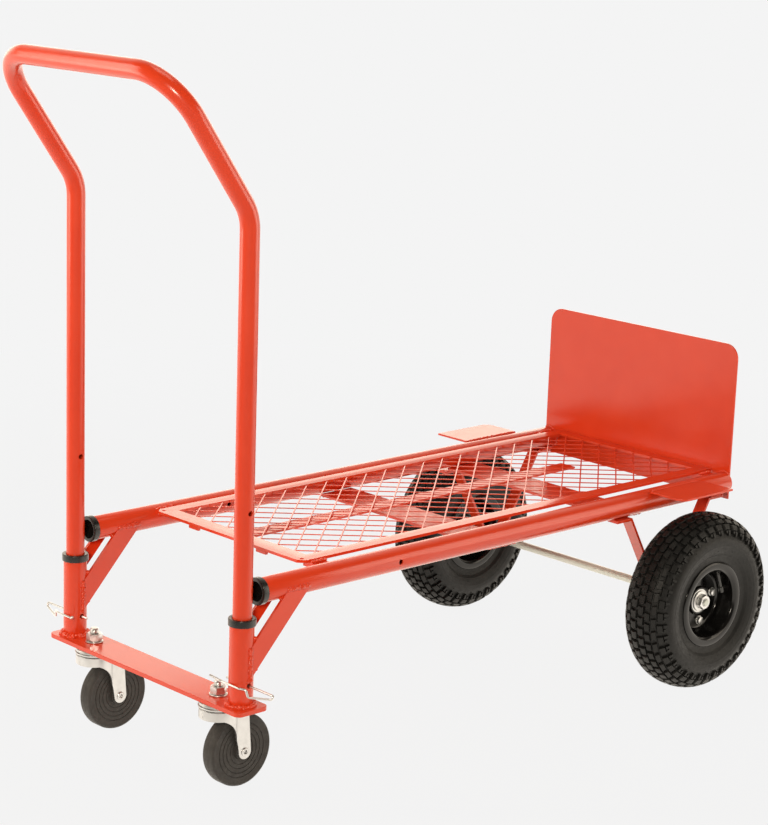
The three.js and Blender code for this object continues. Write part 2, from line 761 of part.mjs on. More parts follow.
function wheelAssembly(parent, word, sign) {
  const wheel = new THREE.Group();
  wheel.position.set(axleAt, sign * wheelTrack / 2, axleHeight);
  parent.add(wheel);
  part(wheel, `tyre_${word}`, tyre(), tyreRubber());
  part(wheel, `inner_tube_${word}`, innerTube(), tyreRubber());
  part(wheel, `rim_outer_${word}`, rimHalf(sign), blackEnamel());
  part(wheel, `rim_inner_${word}`, rimHalf(-sign), blackEnamel());
  const outer = part(wheel, `wheel_bearing_outer_${word}`, bearing(), zincPlate());
  outer.position.y = sign > 0 ? hubFace : -gap;
  const inner = part(wheel, `wheel_bearing_inner_${word}`, bearing(), zincPlate());
  inner.position.y = sign > 0 ? -gap : hubFace;
  const bore = axleDiameter / 2 + gap;
  const turnedOut = (geometry) => geometry.rotateX(-sign * Math.PI / 2);
  const washerAt = hubFace + gap;
  part(wheel, `axle_washer_${word}`,
    turnedOut(ring(bore, washerDiameter / 2, washerAt, washerAt + washerThickness)), zincPlate());
  const nutAt = washerAt + washerThickness + gap;
  part(wheel, `axle_nut_${word}`,
    turnedOut(hexagon(axleNutFlats, 2 * bore, nutAt, axleNutHeight)), zincPlate());
  part(wheel, `axle_spacer_${word}`,
    turnedOut(ring(bore, spacerDiameter / 2, -spacerEnd, -hubFace - gap)), zincPlate());
}

function axle() {
  const half = wheelTrack / 2 + hubFace + 2 * gap + washerThickness + axleNutHeight + axleEnd;
  return new THREE.CylinderGeometry(axleDiameter / 2, axleDiameter / 2, 2 * half, smallSides)
    .translate(axleAt, 0, axleHeight);
}

function casterAssembly(parent, word, sign) {
  const washerBottom = barTopHeight + gap;
  const caster = new THREE.Group();
  caster.position.y = sign * casterSpacing / 2;
  parent.add(caster);
  part(caster, `caster_stem_${word}`, casterStem(), zincPlate());
  part(caster, `caster_washer_${word}`,
    ring(stemDiameter / 2 + gap, stemWasherDiameter / 2, washerBottom,
      washerBottom + stemWasherThickness), zincPlate());
  part(caster, `caster_nut_${word}`,
    hexagon(stemNutFlats, stemDiameter + 2 * gap, washerBottom + stemWasherThickness + gap,
      stemNutHeight), zincPlate());
  part(caster, `caster_race_${word}`, casterRace(), zincPlate());
  part(caster, `caster_fork_${word}`, casterFork(), zincPlate());
  const wheel = part(caster, `caster_wheel_${word}`, casterWheel(), casterRubber());
  wheel.position.set(casterTrail, 0, casterDiameter / 2);
  const pin = part(caster, `caster_pin_${word}`, casterPin(), zincPlate());
  pin.position.set(casterTrail, 0, casterDiameter / 2);
}

// ---------------------------------------------------------------- the cart

const cart = new THREE.Group();
const layout = new THREE.Group();
layout.position.x = -(rearmost + frontmost) / 2;
cart.add(layout);

for (const [word, sign] of sides) {
  part(layout, `rail_${word}`, rail(), redPaint()).position.y = sign * side;
  const railCollar = part(layout, `rail_collar_${word}`, collar(railCollarSkirt), blackPlastic());
  railCollar.rotation.y = -Math.PI / 2;
  railCollar.position.set(railSetback, sign * side, railHeight);
  part(layout, `socket_${word}`, socket(), redPaint()).position.y = sign * side;
  part(layout, `socket_collar_${word}`, collar(socketCollarSkirt), blackPlastic())
    .position.set(0, sign * side, socketTop);
  part(layout, `gusset_${word}`, cornerBar(gussetDrop, gussetWidth, -gussetSpacing / 2), redPaint())
    .position.y = sign * side;
  part(layout, `corner_brace_${word}`, cornerBar(braceDrop, braceWidth, gussetSpacing / 2), redPaint())
    .position.y = sign * side;
  part(layout, `wheel_guard_${word}`, guard(sign), redPaint());
  part(layout, `axle_bracket_${word}`, axleBracket(), redPaint()).position.y = sign * bracketSide;
}
part(layout, 'caster_bar', casterBar(), redPaint());
part(layout, 'toe_plate', toePlate(), redPaint());
for (const [place, at] of [['rear', rearStrapAt], ['front', frontStrapAt]]) {
  part(layout, `cross_strap_${place}`, strap(), redPaint())
    .position.set(at, 0, strapTop - strapThickness / 2);
}
part(layout, 'deck_frame', deckFrame(), redPaint());
part(layout, 'deck_mesh', deckMesh(), redPaint());
part(layout, 'deck_centre_bar', centreBar(), redPaint());
part(layout, 'handle', handle(), redPaint());
for (const [word, sign] of sides) {
  part(layout, `hitch_pin_${word}`, hitchPin(sign), zincPlate()).position.y = sign * side;
}
part(layout, 'axle', axle(), zincPlate());
for (const [word, sign] of sides) {
  wheelAssembly(layout, word, sign);
  casterAssembly(layout, word, sign);
}

export default cart;
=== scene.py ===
# Looks of a garden cart: red powder-coated tube frame, welded mesh deck, upright toe plate,
# pneumatic wheels with block tread and zinc-plated swivel casters. Metres, +Z up, +X to the toe plate.
import math

import bmesh
import bpy
from mathutils import Matrix, Vector


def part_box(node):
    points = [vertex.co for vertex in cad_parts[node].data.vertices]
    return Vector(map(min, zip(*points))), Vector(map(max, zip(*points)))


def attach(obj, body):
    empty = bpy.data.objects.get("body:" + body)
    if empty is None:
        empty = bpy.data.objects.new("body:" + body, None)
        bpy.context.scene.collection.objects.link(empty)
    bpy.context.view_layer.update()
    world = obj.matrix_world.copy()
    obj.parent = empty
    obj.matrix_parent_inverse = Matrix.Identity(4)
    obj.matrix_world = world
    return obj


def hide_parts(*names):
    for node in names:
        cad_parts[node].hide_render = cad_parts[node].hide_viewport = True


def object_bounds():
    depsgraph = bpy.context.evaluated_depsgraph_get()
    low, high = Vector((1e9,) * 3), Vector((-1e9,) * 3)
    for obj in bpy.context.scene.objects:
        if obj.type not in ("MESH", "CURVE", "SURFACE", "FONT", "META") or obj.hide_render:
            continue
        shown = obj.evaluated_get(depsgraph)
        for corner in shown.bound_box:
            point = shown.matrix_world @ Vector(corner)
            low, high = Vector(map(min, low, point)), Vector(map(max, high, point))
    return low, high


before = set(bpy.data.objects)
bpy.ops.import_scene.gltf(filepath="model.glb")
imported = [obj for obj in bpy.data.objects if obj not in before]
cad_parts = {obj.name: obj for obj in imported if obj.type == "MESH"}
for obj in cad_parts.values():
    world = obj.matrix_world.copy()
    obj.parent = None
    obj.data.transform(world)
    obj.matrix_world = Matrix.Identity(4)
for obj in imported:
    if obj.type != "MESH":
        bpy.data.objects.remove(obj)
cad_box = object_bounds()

MM = 0.001
SIDES = (("left", 1), ("right", -1))
ALONG_X = Matrix.Rotation(math.pi / 2, 4, "Y")  # a turned piece's axis laid along +X
ALONG_Y = Matrix.Rotation(-math.pi / 2, 4, "X")  # and along +Y

# ---- sizes repeated from the solids

CLEARANCE = 0.3 * MM  # between pieces that fit in each other
TUBE_RADIUS = 16 * MM
TUBE_WALL = 2 * MM
TUBE_SIDES = 96
HANDLE_RADIUS = 12.5 * MM
HANDLE_KINK = 749 * MM  # height of the legs' bend
HANDLE_KINK_RADIUS = 60 * MM
HANDLE_CORNER_RADIUS = 65 * MM
PIN_HEIGHT = 157 * MM
PIN_WIRE = 1.5 * MM
PIN_HOLE_RADIUS = 3.5 * MM
LEG_HOLE_SPACING = 223 * MM
RAIL_HOLE_INSET = 234 * MM
COLLAR_WALL = 1.9 * MM
COLLAR_LIP = 2.3 * MM  # how far a collar stands past its tube's end
COLLAR_SLEEVE = 25 * MM
PLATE_CORNER = 22 * MM
BAR_CORNER = 9 * MM
GUARD_CORNER = 14 * MM
GUSSET_ANGLE = 47.5
MESH_PITCH = 39 * MM  # strand to strand along the deck
MESH_CROSS_PITCH = 34.5 * MM
STRAND_WIDTH = 2.0 * MM
STRAND_LAYER = 1.35 * MM
STRAND_SHORTEST = 0.06  # share of a whole strand; a shorter piece in a corner is left out
TYRE_RADIAL = 34.5 * MM  # half height of the tyre's section
TYRE_WALL = 6 * MM
TYRE_POWER = 2 / 2.3  # squareness of the section's oval
SKIN = 0.45 * MM  # the blocks' faces lie this far inside the solid
TREAD_DEPTH = 3.8 * MM
FLANGE_RADIUS = 63 * MM
RIM_WELL = 51 * MM
RIM_EDGE = 32 * MM
RIM_SHEET = 2 * MM
RIM_GAP = 0.15 * MM  # from the middle of the wheel to each rim half
HUB_HOUSING = 17.8 * MM
HUB_FACE = 7.8 * MM
CASTER_TRAIL = 32 * MM
CASTER_PIN_HOLE = 4.3 * MM
STEM_RADIUS = 6 * MM  # of the caster stems and the axle
NUT_FLATS = 19 * MM
THREAD_PITCH = 1.75 * MM


def mm(*values):
    return [value * MM for value in values]


class Box:
    """A solid's low and high corner, its size and its middle."""

    def __init__(self, node):
        self.low, self.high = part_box(node)
        self.size = [high - low for low, high in zip(self.low, self.high)]
        self.middle = (self.low + self.high) / 2

    def raised(self, z):
        """A move to the solid's upright axis, and up to a height."""
        return shift(self.middle.x, self.middle.y, z)


# ---- node trees


class Term:
    """A number in a node tree that can be reckoned with like a plain one."""

    def __init__(self, socket):
        self.socket = socket

    def __add__(self, other):
        return reckon("ADD", self, other)

    def __sub__(self, other):
        return reckon("SUBTRACT", self, other)

    def __mul__(self, other):
        return reckon("MULTIPLY", self, other)

    def __truediv__(self, other):
        return reckon("DIVIDE", self, other)


def reckon(operation, a, b=0.0):
    """A Math node on two values, at least one of them a Term."""
    tree = (a if isinstance(a, Term) else b).socket.id_data
    return Term(out(tree, "ShaderNodeMath", {0: a, 1: b}, operation=operation))


def add(tree, kind, links=None, **settings):
    """A node with its settings; links gives each input a socket to join or a value."""
    node = tree.nodes.new(kind)
    for key, value in settings.items():
        setattr(node, key, value)
    for key, value in (links or {}).items():
        value = value.socket if isinstance(value, Term) else value
        if isinstance(value, bpy.types.NodeSocket):
            tree.links.new(value, node.inputs[key])
        else:
            node.inputs[key].default_value = value
    return node


def out(tree, kind, links=None, socket=0, **settings):
    """An output of a new node, its first one unless another is named."""
    return add(tree, kind, links, **settings).outputs[socket]


def emptied(owner):
    """The node tree of a material or a world, with nothing in it."""
    owner.use_nodes = True
    owner.node_tree.nodes.clear()
    return owner.node_tree


# ---- materials


def linear(code):
    """A hex sRGB colour as linear RGBA."""
    parts = [int(code[i : i + 2], 16) / 255 for i in (1, 3, 5)]
    return (*[c / 12.92 if c <= 0.04045 else ((c + 0.055) / 1.055) ** 2.4 for c in parts], 1.0)


def speckle(tree, place, size, detail, stretch=(1, 1, 1)):
    """Noise whose blotches are about size metres across."""
    mapped = out(tree, "ShaderNodeMapping", {"Vector": place, "Scale": stretch})
    return out(tree, "ShaderNodeTexNoise", {
        "Vector": mapped, "Scale": 1 / size, "Detail": detail, "Roughness": 0.5})


def ramp(tree, fac, *stops):
    """Colours or greys along a factor; each stop is (position, value)."""
    node = add(tree, "ShaderNodeValToRGB", {"Fac": fac})
    for element, (at, value) in zip(node.color_ramp.elements, stops):
        element.position = at
        element.color = linear(value) if isinstance(value, str) else (value, value, value, 1)
    return node.outputs["Color"]


def coating(name, tone, sheen, bump=None, grain=(1, 1, 1), **values):
    """A material whose colour and roughness are clouded.

    tone and sheen are a cloud's size, its detail and two stops. bump is a size, a detail, a strength
    and a depth. grain stretches the clouds of the roughness and the bump."""
    material = bpy.data.materials.new(name)
    tree = emptied(material)
    place = out(tree, "ShaderNodeTexCoord", socket="Object")
    values["Base Color"] = ramp(tree, speckle(tree, place, *tone[:2]), *tone[2:])
    values["Roughness"] = ramp(tree, speckle(tree, place, *sheen[:2], grain), *sheen[2:])
    if bump:
        size, detail, strength, depth = bump
        height = speckle(tree, place, size, detail, grain)
        values["Normal"] = out(tree, "ShaderNodeBump", {
            "Height": height, "Strength": strength, "Distance": depth})
    surface = out(tree, "ShaderNodeBsdfPrincipled", values)
    add(tree, "ShaderNodeOutputMaterial", {"Surface": surface})
    return material


def zinc_plate(name, light, dark, low, high, grain=(1, 1, 1), metal=1.0):
    """Electroplated zinc over steel: pale, half bright and slightly clouded; drawn bar has a long grain."""
    return coating(name, (10 * MM, 2.0, (0.25, dark), (0.75, light)), (4 * MM, 1.0, (0.3, low), (0.7, high)),
                   (2 * MM, 1.0, 0.04, 0.02 * MM), grain, Metallic=metal)


# polyester powder coat, sprayed and baked: warm red with a soft gloss that varies from place to place
RED = coating("powder_coat_red", (60 * MM, 2.0, (0.3, "#DB3D1B"), (0.7, "#E0421F")),
              (12 * MM, 2.0, (0.3, 0.2), (0.75, 0.26)), IOR=1.5)
# low-density polyethylene, injection moulded: charcoal with a satin skin and faint flow marks
PLASTIC = coating("moulded_polyethylene", (6 * MM, 2.0, (0.3, "#141414"), (0.7, "#1D1D1C")),
                  (3 * MM, 2.0, (0.3, 0.24), (0.7, 0.34)), (0.8 * MM, 2.0, 0.12, 0.04 * MM), IOR=1.51)
# carbon-black rubber cured in a mould: nearly black, dull, with a dusty bloom
TYRE = coating("tyre_rubber", (18 * MM, 4.0, (0.3, "#0F0F0F"), (0.72, "#171716")),
               (5 * MM, 2.0, (0.3, 0.42), (0.7, 0.56)), (2.4 * MM, 3.0, 0.8, 0.3 * MM), IOR=1.32)
# solid brown-grey rubber, moulded and trimmed: duller than the tyres
CASTER = coating("solid_caster_rubber", (12 * MM, 4.0, (0.3, "#312F2E"), (0.7, "#3B3937")),
                 (4 * MM, 2.0, (0.3, 0.5), (0.7, 0.68)), (1.0 * MM, 3.0, 0.2, 0.08 * MM), IOR=1.4)
# stoved black enamel on pressed steel: a deep gloss with a slight ripple
ENAMEL = coating("stoved_black_enamel", (30 * MM, 2.0, (0.3, "#0A0A0A"), (0.7, "#100F0F")),
                 (8 * MM, 2.0, (0.3, 0.12), (0.7, 0.18)), (4 * MM, 1.0, 0.12, 0.05 * MM), IOR=1.38)
ZINC = zinc_plate("zinc_plated_pressing", "#C9C9C9", "#BDBDBD", 0.34, 0.44)
BRIGHT = zinc_plate("zinc_plated_fastener", "#D6D6D5", "#C6C6C5", 0.3, 0.4)
BAR_STEEL = zinc_plate("zinc_plated_drawn_bar", "#D0D4CC", "#C2C6BE", 0.28, 0.38, (1, 0.05, 1), 0.4)

# ---- meshes


def linked(name, mesh):
    made = bpy.data.objects.new(name, mesh)
    bpy.context.scene.collection.objects.link(made)
    return made


def released(work, name):
    """The object that a finished bmesh becomes."""
    mesh = bpy.data.meshes.new(name)
    work.to_mesh(mesh)
    work.free()
    return linked(name, mesh)


def shape(name, vertices, faces):
    """A mesh object with merged points and faces that point outwards."""
    work = bmesh.new()
    points = [work.verts.new(v) for v in vertices]
    for face in faces:
        work.faces.new([points[i] for i in face])
    bmesh.ops.remove_doubles(work, verts=work.verts, dist=1e-7)
    bmesh.ops.recalc_face_normals(work, faces=work.faces)
    return released(work, name)


def smoothed(mesh, sharp=35):
    mesh.polygons.foreach_set("use_smooth", [True] * len(mesh.polygons))
    if sharp:
        mesh.set_sharp_from_angle(angle=math.radians(sharp))


def settle(made, sharp=35):
    """Turns what the modifiers give into the object's own mesh, smooth up to an angle."""
    bpy.context.view_layer.update()
    evaluated = made.evaluated_get(bpy.context.evaluated_depsgraph_get())
    mesh = bpy.data.meshes.new_from_object(evaluated)
    made.modifiers.clear()
    old, made.data = made.data, mesh
    bpy.data.meshes.remove(old)
    smoothed(mesh, sharp)
    return made


def moved(made, place):
    made.data.transform(place)
    return made


def shift(x, y, z):
    return Matrix.Translation((x, y, z))


def on_axle(place, sign=1):
    """Lays a turned piece's axis along Y at a place, outwards from the right side where sign is -1."""
    return Matrix.Translation(place) @ (ALONG_Y if sign > 0 else ALONG_Y.inverted())


def finish_piece(made, material, node=None, body="frame", place=None, sharp=35):
    """Places, smooths, paints and mounts a piece, and hides the solid that it stands for."""
    if place is not None:
        moved(made, place)
    smoothed(made.data, sharp)
    made.data.materials.clear()
    made.data.materials.append(material)
    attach(made, body)
    if node:
        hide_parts(node)
    return made


def combined(made, tool, operation="DIFFERENCE"):
    """Cuts or joins with a tool, which is then thrown away."""
    modifier = made.modifiers.new("cut", "BOOLEAN")
    modifier.operation = operation
    modifier.solver = "EXACT"
    modifier.object = tool
    settle(made)
    bpy.data.objects.remove(tool)
    return made


def softened(made, width=0.5 * MM, segments=2, angle=30):
    """Breaks the edges of a cut or pressed piece."""
    modifier = made.modifiers.new("edges", "BEVEL")
    modifier.width = width
    modifier.segments = segments
    modifier.limit_method = "ANGLE"
    modifier.angle_limit = math.radians(angle)
    modifier.use_clamp_overlap = True
    return settle(made)


def polar(radius, angle):
    return (radius * math.cos(angle), radius * math.sin(angle))


def rectangle(x0, y0, x1, y1):
    return [(x0, y0), (x1, y0), (x1, y1), (x0, y1)]


def hexagon(flats):
    return [polar(flats / math.sqrt(3), math.radians(60 * i)) for i in range(6)]


def mirrored(side, shared=0):
    """A turned outline from the half above its middle; shared points lie on the middle."""
    return [(r, -z) for r, z in side] + [(r, z) for r, z in reversed(side)][shared:]


def band(first, second, count):
    """Faces between two rings of points, whose numbers start at first and at second."""
    return [[first + i, first + (i + 1) % count, second + (i + 1) % count, second + i] for i in range(count)]


def lathe(name, outline, turns=64):
    """A piece turned about Z from (radius, height) points; a closed ring unless it meets the axis."""
    rings, vertices = [], []
    for radius, height in outline:
        if radius < 1e-9:
            rings.append([len(vertices)] * turns)
            vertices.append((0, 0, height))
        else:
            rings.append([len(vertices) + i for i in range(turns)])
            vertices += [(*polar(radius, 2 * math.pi * i / turns), height) for i in range(turns)]
    closed = outline[0][0] > 1e-9
    faces = []
    for lower, upper in list(zip(rings, rings[1:])) + ([(rings[-1], rings[0])] if closed else []):
        for i in range(turns):
            j = (i + 1) % turns
            corner = list(dict.fromkeys((lower[i], lower[j], upper[j], upper[i])))
            if len(corner) > 2:
                faces.append(corner)
    return shape(name, vertices, faces)


def eased(points, radii, steps=5, closed=True):
    """An outline whose corners are rounded, each to its own radius or all to one."""
    count = len(points)
    radii = radii if isinstance(radii, (list, tuple)) else [radii] * count
    result = []
    for i, radius in enumerate(radii):
        corner = Vector(points[i])
        if radius <= 0 or (not closed and i in (0, count - 1)):
            result.append(tuple(corner))
            continue
        before = Vector(points[i - 1]) - corner
        after = Vector(points[(i + 1) % count]) - corner
        half = before.angle(after) / 2
        reach = min(radius / math.tan(half), before.length * 0.49, after.length * 0.49)
        start, end = corner + before.normalized() * reach, corner + after.normalized() * reach
        radius = reach * math.tan(half)
        centre = corner + (before.normalized() + after.normalized()).normalized() * radius / math.sin(half)
        for s in range(steps + 1):
            mixed = (start - centre).lerp(end - centre, s / steps)
            # equal steps along the chord, pushed out to the arc
            result.append(tuple(centre + mixed.normalized() * radius))
    return result


def flat(a, b, depth):
    return (a, b, depth)


def upright_x(a, b, depth):
    return (depth, a, b)


def upright_y(a, b, depth):
    return (a, depth, b)


def prism(name, outline, low, high, to_space=flat):
    """An outline drawn out from low to high; to_space maps (a, b, depth) to a place."""
    count = len(outline)
    vertices = [to_space(a, b, depth) for depth in (low, high) for a, b in outline]
    faces = [list(range(count)), list(range(count, 2 * count))] + band(0, count, count)
    return shape(name, vertices, faces)


def rod(radius, low, high, turns=48):
    return lathe("cutter", rectangle(0, low, radius, high), turns)


def bent_path(corners, radii, step):
    """Points and directions along straight runs whose corners are bent to the given radii."""
    stations = []
    for i, corner in enumerate(corners):
        into = (corner - corners[i - 1]).normalized() if i else None
        out = (corners[i + 1] - corner).normalized() if i + 1 < len(corners) else None
        if into is None or out is None:
            stations.append((corner, into or out))
            continue
        turn, radius = into.angle(out), radii[i - 1]
        start = corner - into * radius * math.tan(turn / 2)
        inward = (out - into * out.dot(into)).normalized()
        steps = max(2, math.ceil(turn / math.radians(step)))
        for s in range(steps + 1):
            angle = turn * s / steps
            stations.append((start + into * radius * math.sin(angle) + inward * radius * (1 - math.cos(angle)),
                             into * math.cos(angle) + inward * math.sin(angle)))
    return stations


def filled(stations, reach):
    """The same path with more stations on its straight runs, at most reach apart."""
    result = stations[:1]
    for (start, _), (end, direction) in zip(stations, stations[1:]):
        steps = max(1, math.ceil((end - start).length / reach))
        result += [(start.lerp(end, i / steps), direction) for i in range(1, steps)] + [(end, direction)]
    return result


def swept(name, stations, radius, wall=0.0, turns=24):
    """A round bar along a path, or a tube where it has a wall."""
    side = stations[0][1].orthogonal().normalized()
    rows = []
    for point, direction in stations:
        side = (side - direction * side.dot(direction)).normalized()
        rows.append((point, side.copy(), direction.cross(side)))

    round_it = [polar(1, 2 * math.pi * i / turns) for i in range(turns)]
    last = (len(rows) - 1) * turns

    def skin(r):
        return [point + (a * c + b * s) * r for point, a, b in rows for c, s in round_it]

    def grid(first):
        return [face for k in range(first, first + last, turns) for face in band(k, k + turns, turns)]

    vertices, faces = skin(radius), grid(0)
    if wall:
        inner = len(vertices)
        vertices += skin(radius - wall)
        faces += grid(inner) + band(0, inner, turns) + band(last, inner + last, turns)
    else:
        faces += [list(range(turns)), list(range(last, last + turns))]
    return shape(name, vertices, faces)


def refined(node, width=0.5 * MM):
    """A copy of a painted solid with its flats made whole and its edges broken."""
    work = bmesh.new()
    work.from_mesh(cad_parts[node].data)
    bmesh.ops.remove_doubles(work, verts=work.verts, dist=2e-6)
    bmesh.ops.dissolve_limit(work, angle_limit=math.radians(1), verts=work.verts, edges=work.edges)
    made = softened(released(work, node + "_finished"), width, 2, 40)
    return finish_piece(made, RED, node, sharp=20)


# ---- patterns grown by geometry nodes


def geometry_tree(name, **inputs):
    """A geometry tree with numbers as inputs: the tree, its geometry socket and the numbers."""
    tree = bpy.data.node_groups.new(name, "GeometryNodeTree")
    tree.interface.new_socket("Geometry", in_out="INPUT", socket_type="NodeSocketGeometry")
    for label, default in inputs.items():
        kind = "NodeSocketInt" if isinstance(default, int) else "NodeSocketFloat"
        tree.interface.new_socket(label, in_out="INPUT", socket_type=kind).default_value = default
    tree.interface.new_socket("Geometry", in_out="OUTPUT", socket_type="NodeSocketGeometry")
    given = add(tree, "NodeGroupInput").outputs
    return tree, given["Geometry"], {label: Term(given[label]) for label in inputs}


def close_tree(tree, material, *geometries):
    """Joins what the tree has made, realizes and paints it, and puts it out."""
    join = tree.nodes.new("GeometryNodeJoinGeometry")
    for geometry in geometries:
        tree.links.new(geometry, join.inputs["Geometry"])
    solid = out(tree, "GeometryNodeRealizeInstances", {"Geometry": join.outputs["Geometry"]})
    painted = out(tree, "GeometryNodeSetMaterial", {"Geometry": solid, "Material": material})
    add(tree, "NodeGroupOutput", {"Geometry": painted})
    return tree


def row_of_points(tree, count):
    return out(tree, "GeometryNodeMeshLine", {"Count": count, "Offset": (0, 0, 0)})


def rotation(tree, **angles):
    euler = out(tree, "ShaderNodeCombineXYZ", angles)
    return out(tree, "FunctionNodeEulerToRotation", {"Euler": euler})


def instances(tree, piece, points, turn, **more):
    return out(tree, "GeometryNodeInstanceOnPoints", {
        "Points": points, "Instance": piece, "Rotation": turn, **more})


def grown(made, tree, material, node=None, body="frame", sharp=35, **values):
    """Runs a tree on an object and mounts the plain mesh that it gives."""
    modifier = made.modifiers.new("pattern", "NODES")
    modifier.node_group = tree
    sockets = {s.name: s.identifier for s in tree.interface.items_tree if s.in_out == "INPUT"}
    for label, value in values.items():
        modifier[sockets[label]] = value
    settle(made, sharp)
    return finish_piece(made, material, node, body, sharp=sharp)


def weld_tree():
    """Ripples of weld metal laid along lines, as a hand-fed torch leaves them."""
    tree, lines, given = geometry_tree("weld_bead", Spacing=2.2 * MM, Radius=2.4 * MM, Seed=3)
    line = out(tree, "GeometryNodeMeshToCurve", {"Mesh": lines})
    points = out(tree, "GeometryNodeResampleCurve", {"Curve": line, "Length": given["Spacing"]}, mode="LENGTH")
    tangent = out(tree, "GeometryNodeInputTangent")
    turn = out(tree, "FunctionNodeAlignRotationToVector", {"Vector": tangent}, axis="Z")
    drop = out(tree, "GeometryNodeMeshIcoSphere", {"Radius": 1.0, "Subdivisions": 2})
    random = out(tree, "FunctionNodeRandomValue", {
        "Min": (0.62, 0.55, 0.6), "Max": (1.3, 1.2, 0.95), "Seed": given["Seed"]}, data_type="FLOAT_VECTOR")
    size = out(tree, "ShaderNodeVectorMath", {0: random, "Scale": given["Radius"]}, operation="SCALE")
    return close_tree(tree, RED, instances(tree, drop, points, turn, Scale=size))


def ring_tree(material):
    """Copies of a piece round the Y axis of a wheel."""
    tree, piece, given = geometry_tree("copies_round_an_axle", Count=6, First=0.0)
    index = Term(out(tree, "GeometryNodeInputIndex"))
    angle = index / given["Count"] * (2 * math.pi) + given["First"]
    return close_tree(tree, material, instances(
        tree, piece, row_of_points(tree, given["Count"]), rotation(tree, Y=angle)))


def strand_tree():
    """Two layers of slanting strands, each cut off at the edges of the deck's opening."""
    tree, bar, given = geometry_tree(
        "welded_diamond_mesh", Pitch=MESH_PITCH, Slope=1.0, Start=0.0, Length=0.8, Half=0.13, Count=30,
        Strand=STRAND_WIDTH, Layer=STRAND_LAYER)
    index = Term(out(tree, "GeometryNodeInputIndex"))
    width = given["Half"] * 2.0
    # first is where the strand starts along X, and run how far it goes to the other side
    first = given["Start"] + index * given["Pitch"]
    run = given["Slope"] * given["Half"] * 2.0
    from_share = reckon("MAXIMUM", 0.0, first * -1.0 / run)
    to_share = reckon("MINIMUM", 1.0, (given["Length"] - first) / run)
    share = to_share - from_share
    middle_share = (from_share + to_share) * 0.5
    x, y = first + middle_share * run, (middle_share - 0.5) * width
    whole = reckon("SQRT", reckon("POWER", run, 2.0) + reckon("POWER", width, 2.0))
    angle = reckon("ARCTANGENT", reckon("DIVIDE", 1.0, given["Slope"]))
    layers = []
    for sign in (1, -1):
        place = out(tree, "ShaderNodeCombineXYZ", {
            "X": x, "Y": y * sign, "Z": given["Layer"] * (sign / 2)})
        points = out(tree, "GeometryNodeSetPosition", {
            "Geometry": row_of_points(tree, given["Count"]), "Position": place})
        size = out(tree, "ShaderNodeCombineXYZ", {
            "X": whole * share, "Y": given["Strand"], "Z": given["Layer"]})
        kept = out(tree, "FunctionNodeCompare", {"A": share, "B": STRAND_SHORTEST}, operation="GREATER_THAN")
        layers.append(instances(
            tree, bar, points, rotation(tree, Z=angle * sign), Scale=size, Selection=kept))
    return close_tree(tree, RED, *layers)


def thread_tree(material):
    """A ridge that winds round a stud."""
    tree, stud, given = geometry_tree("screw_thread", Radius=6 * MM, Pitch=THREAD_PITCH, Turns=4.0)
    spiral = out(tree, "GeometryNodeCurveSpiral", {
        "Resolution": 24, "Rotations": given["Turns"], "Start Radius": given["Radius"],
        "End Radius": given["Radius"], "Height": given["Pitch"] * given["Turns"]})
    ridge = out(tree, "GeometryNodeCurvePrimitiveCircle", {
        "Resolution": 4, "Radius": given["Pitch"] * 0.45}, mode="RADIUS")
    wound = out(tree, "GeometryNodeCurveToMesh", {
        "Curve": spiral, "Profile Curve": ridge, "Fill Caps": True})
    return close_tree(tree, material, wound, stud)


# ---- tubes

BAR = Box("caster_bar")
RAIL = Box("rail_left")
RAIL_Z = (RAIL.low.z + RAIL.high.z) / 2
SOCKET_X = Box("socket_left").middle.x


def drilled(made, x, height):
    """A hole through a tube along Y."""
    drill = rod(PIN_HOLE_RADIUS, -0.4, 0.4, 32)
    return combined(made, moved(drill, on_axle((x, 0, height))))


def straight_tube(name, node, start, end, hole_x, hole_height, rings=6):
    """A tube with a hole for its hitch pin and broken edges."""
    stations = [(start.lerp(end, i / rings), (end - start).normalized()) for i in range(rings + 1)]
    made = drilled(swept(name, stations, TUBE_RADIUS, TUBE_WALL, TUBE_SIDES), hole_x, hole_height)
    finish_piece(softened(made, 0.35 * MM), RED, node)


for word, _ in SIDES:
    rail, socket = Box("rail_" + word), Box("socket_" + word)
    y = (rail.low.y + rail.high.y) / 2
    straight_tube("rail_tube_" + word, "rail_" + word, Vector((rail.low.x, y, RAIL_Z)),
                  Vector((rail.high.x, y, RAIL_Z)), rail.low.x + RAIL_HOLE_INSET, RAIL_Z)
    straight_tube("socket_tube_" + word, "socket_" + word, Vector((SOCKET_X, y, socket.low.z)),
                  Vector((SOCKET_X, y, socket.high.z)), SOCKET_X, PIN_HEIGHT)


def handle():
    """One tube, bent at both kinks and both upper corners, with two cross holes in each leg."""
    low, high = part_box("handle")
    x, y = high.x - HANDLE_RADIUS, high.y - HANDLE_RADIUS
    back, top = low.x + HANDLE_RADIUS, high.z - HANDLE_RADIUS
    corners = [Vector(c) for c in (
        (x, y, low.z), (x, y, HANDLE_KINK), (back, y, top),
        (back, -y, top), (x, -y, HANDLE_KINK), (x, -y, low.z))]
    radii = [HANDLE_KINK_RADIUS, HANDLE_CORNER_RADIUS, HANDLE_CORNER_RADIUS, HANDLE_KINK_RADIUS]
    path = filled(bent_path(corners, radii, 3), 30 * MM)
    made = swept("handle_tube", path, HANDLE_RADIUS, TUBE_WALL, TUBE_SIDES)
    for height in (PIN_HEIGHT, PIN_HEIGHT + LEG_HOLE_SPACING):
        drilled(made, x, height)
    finish_piece(made, RED, "handle")


handle()


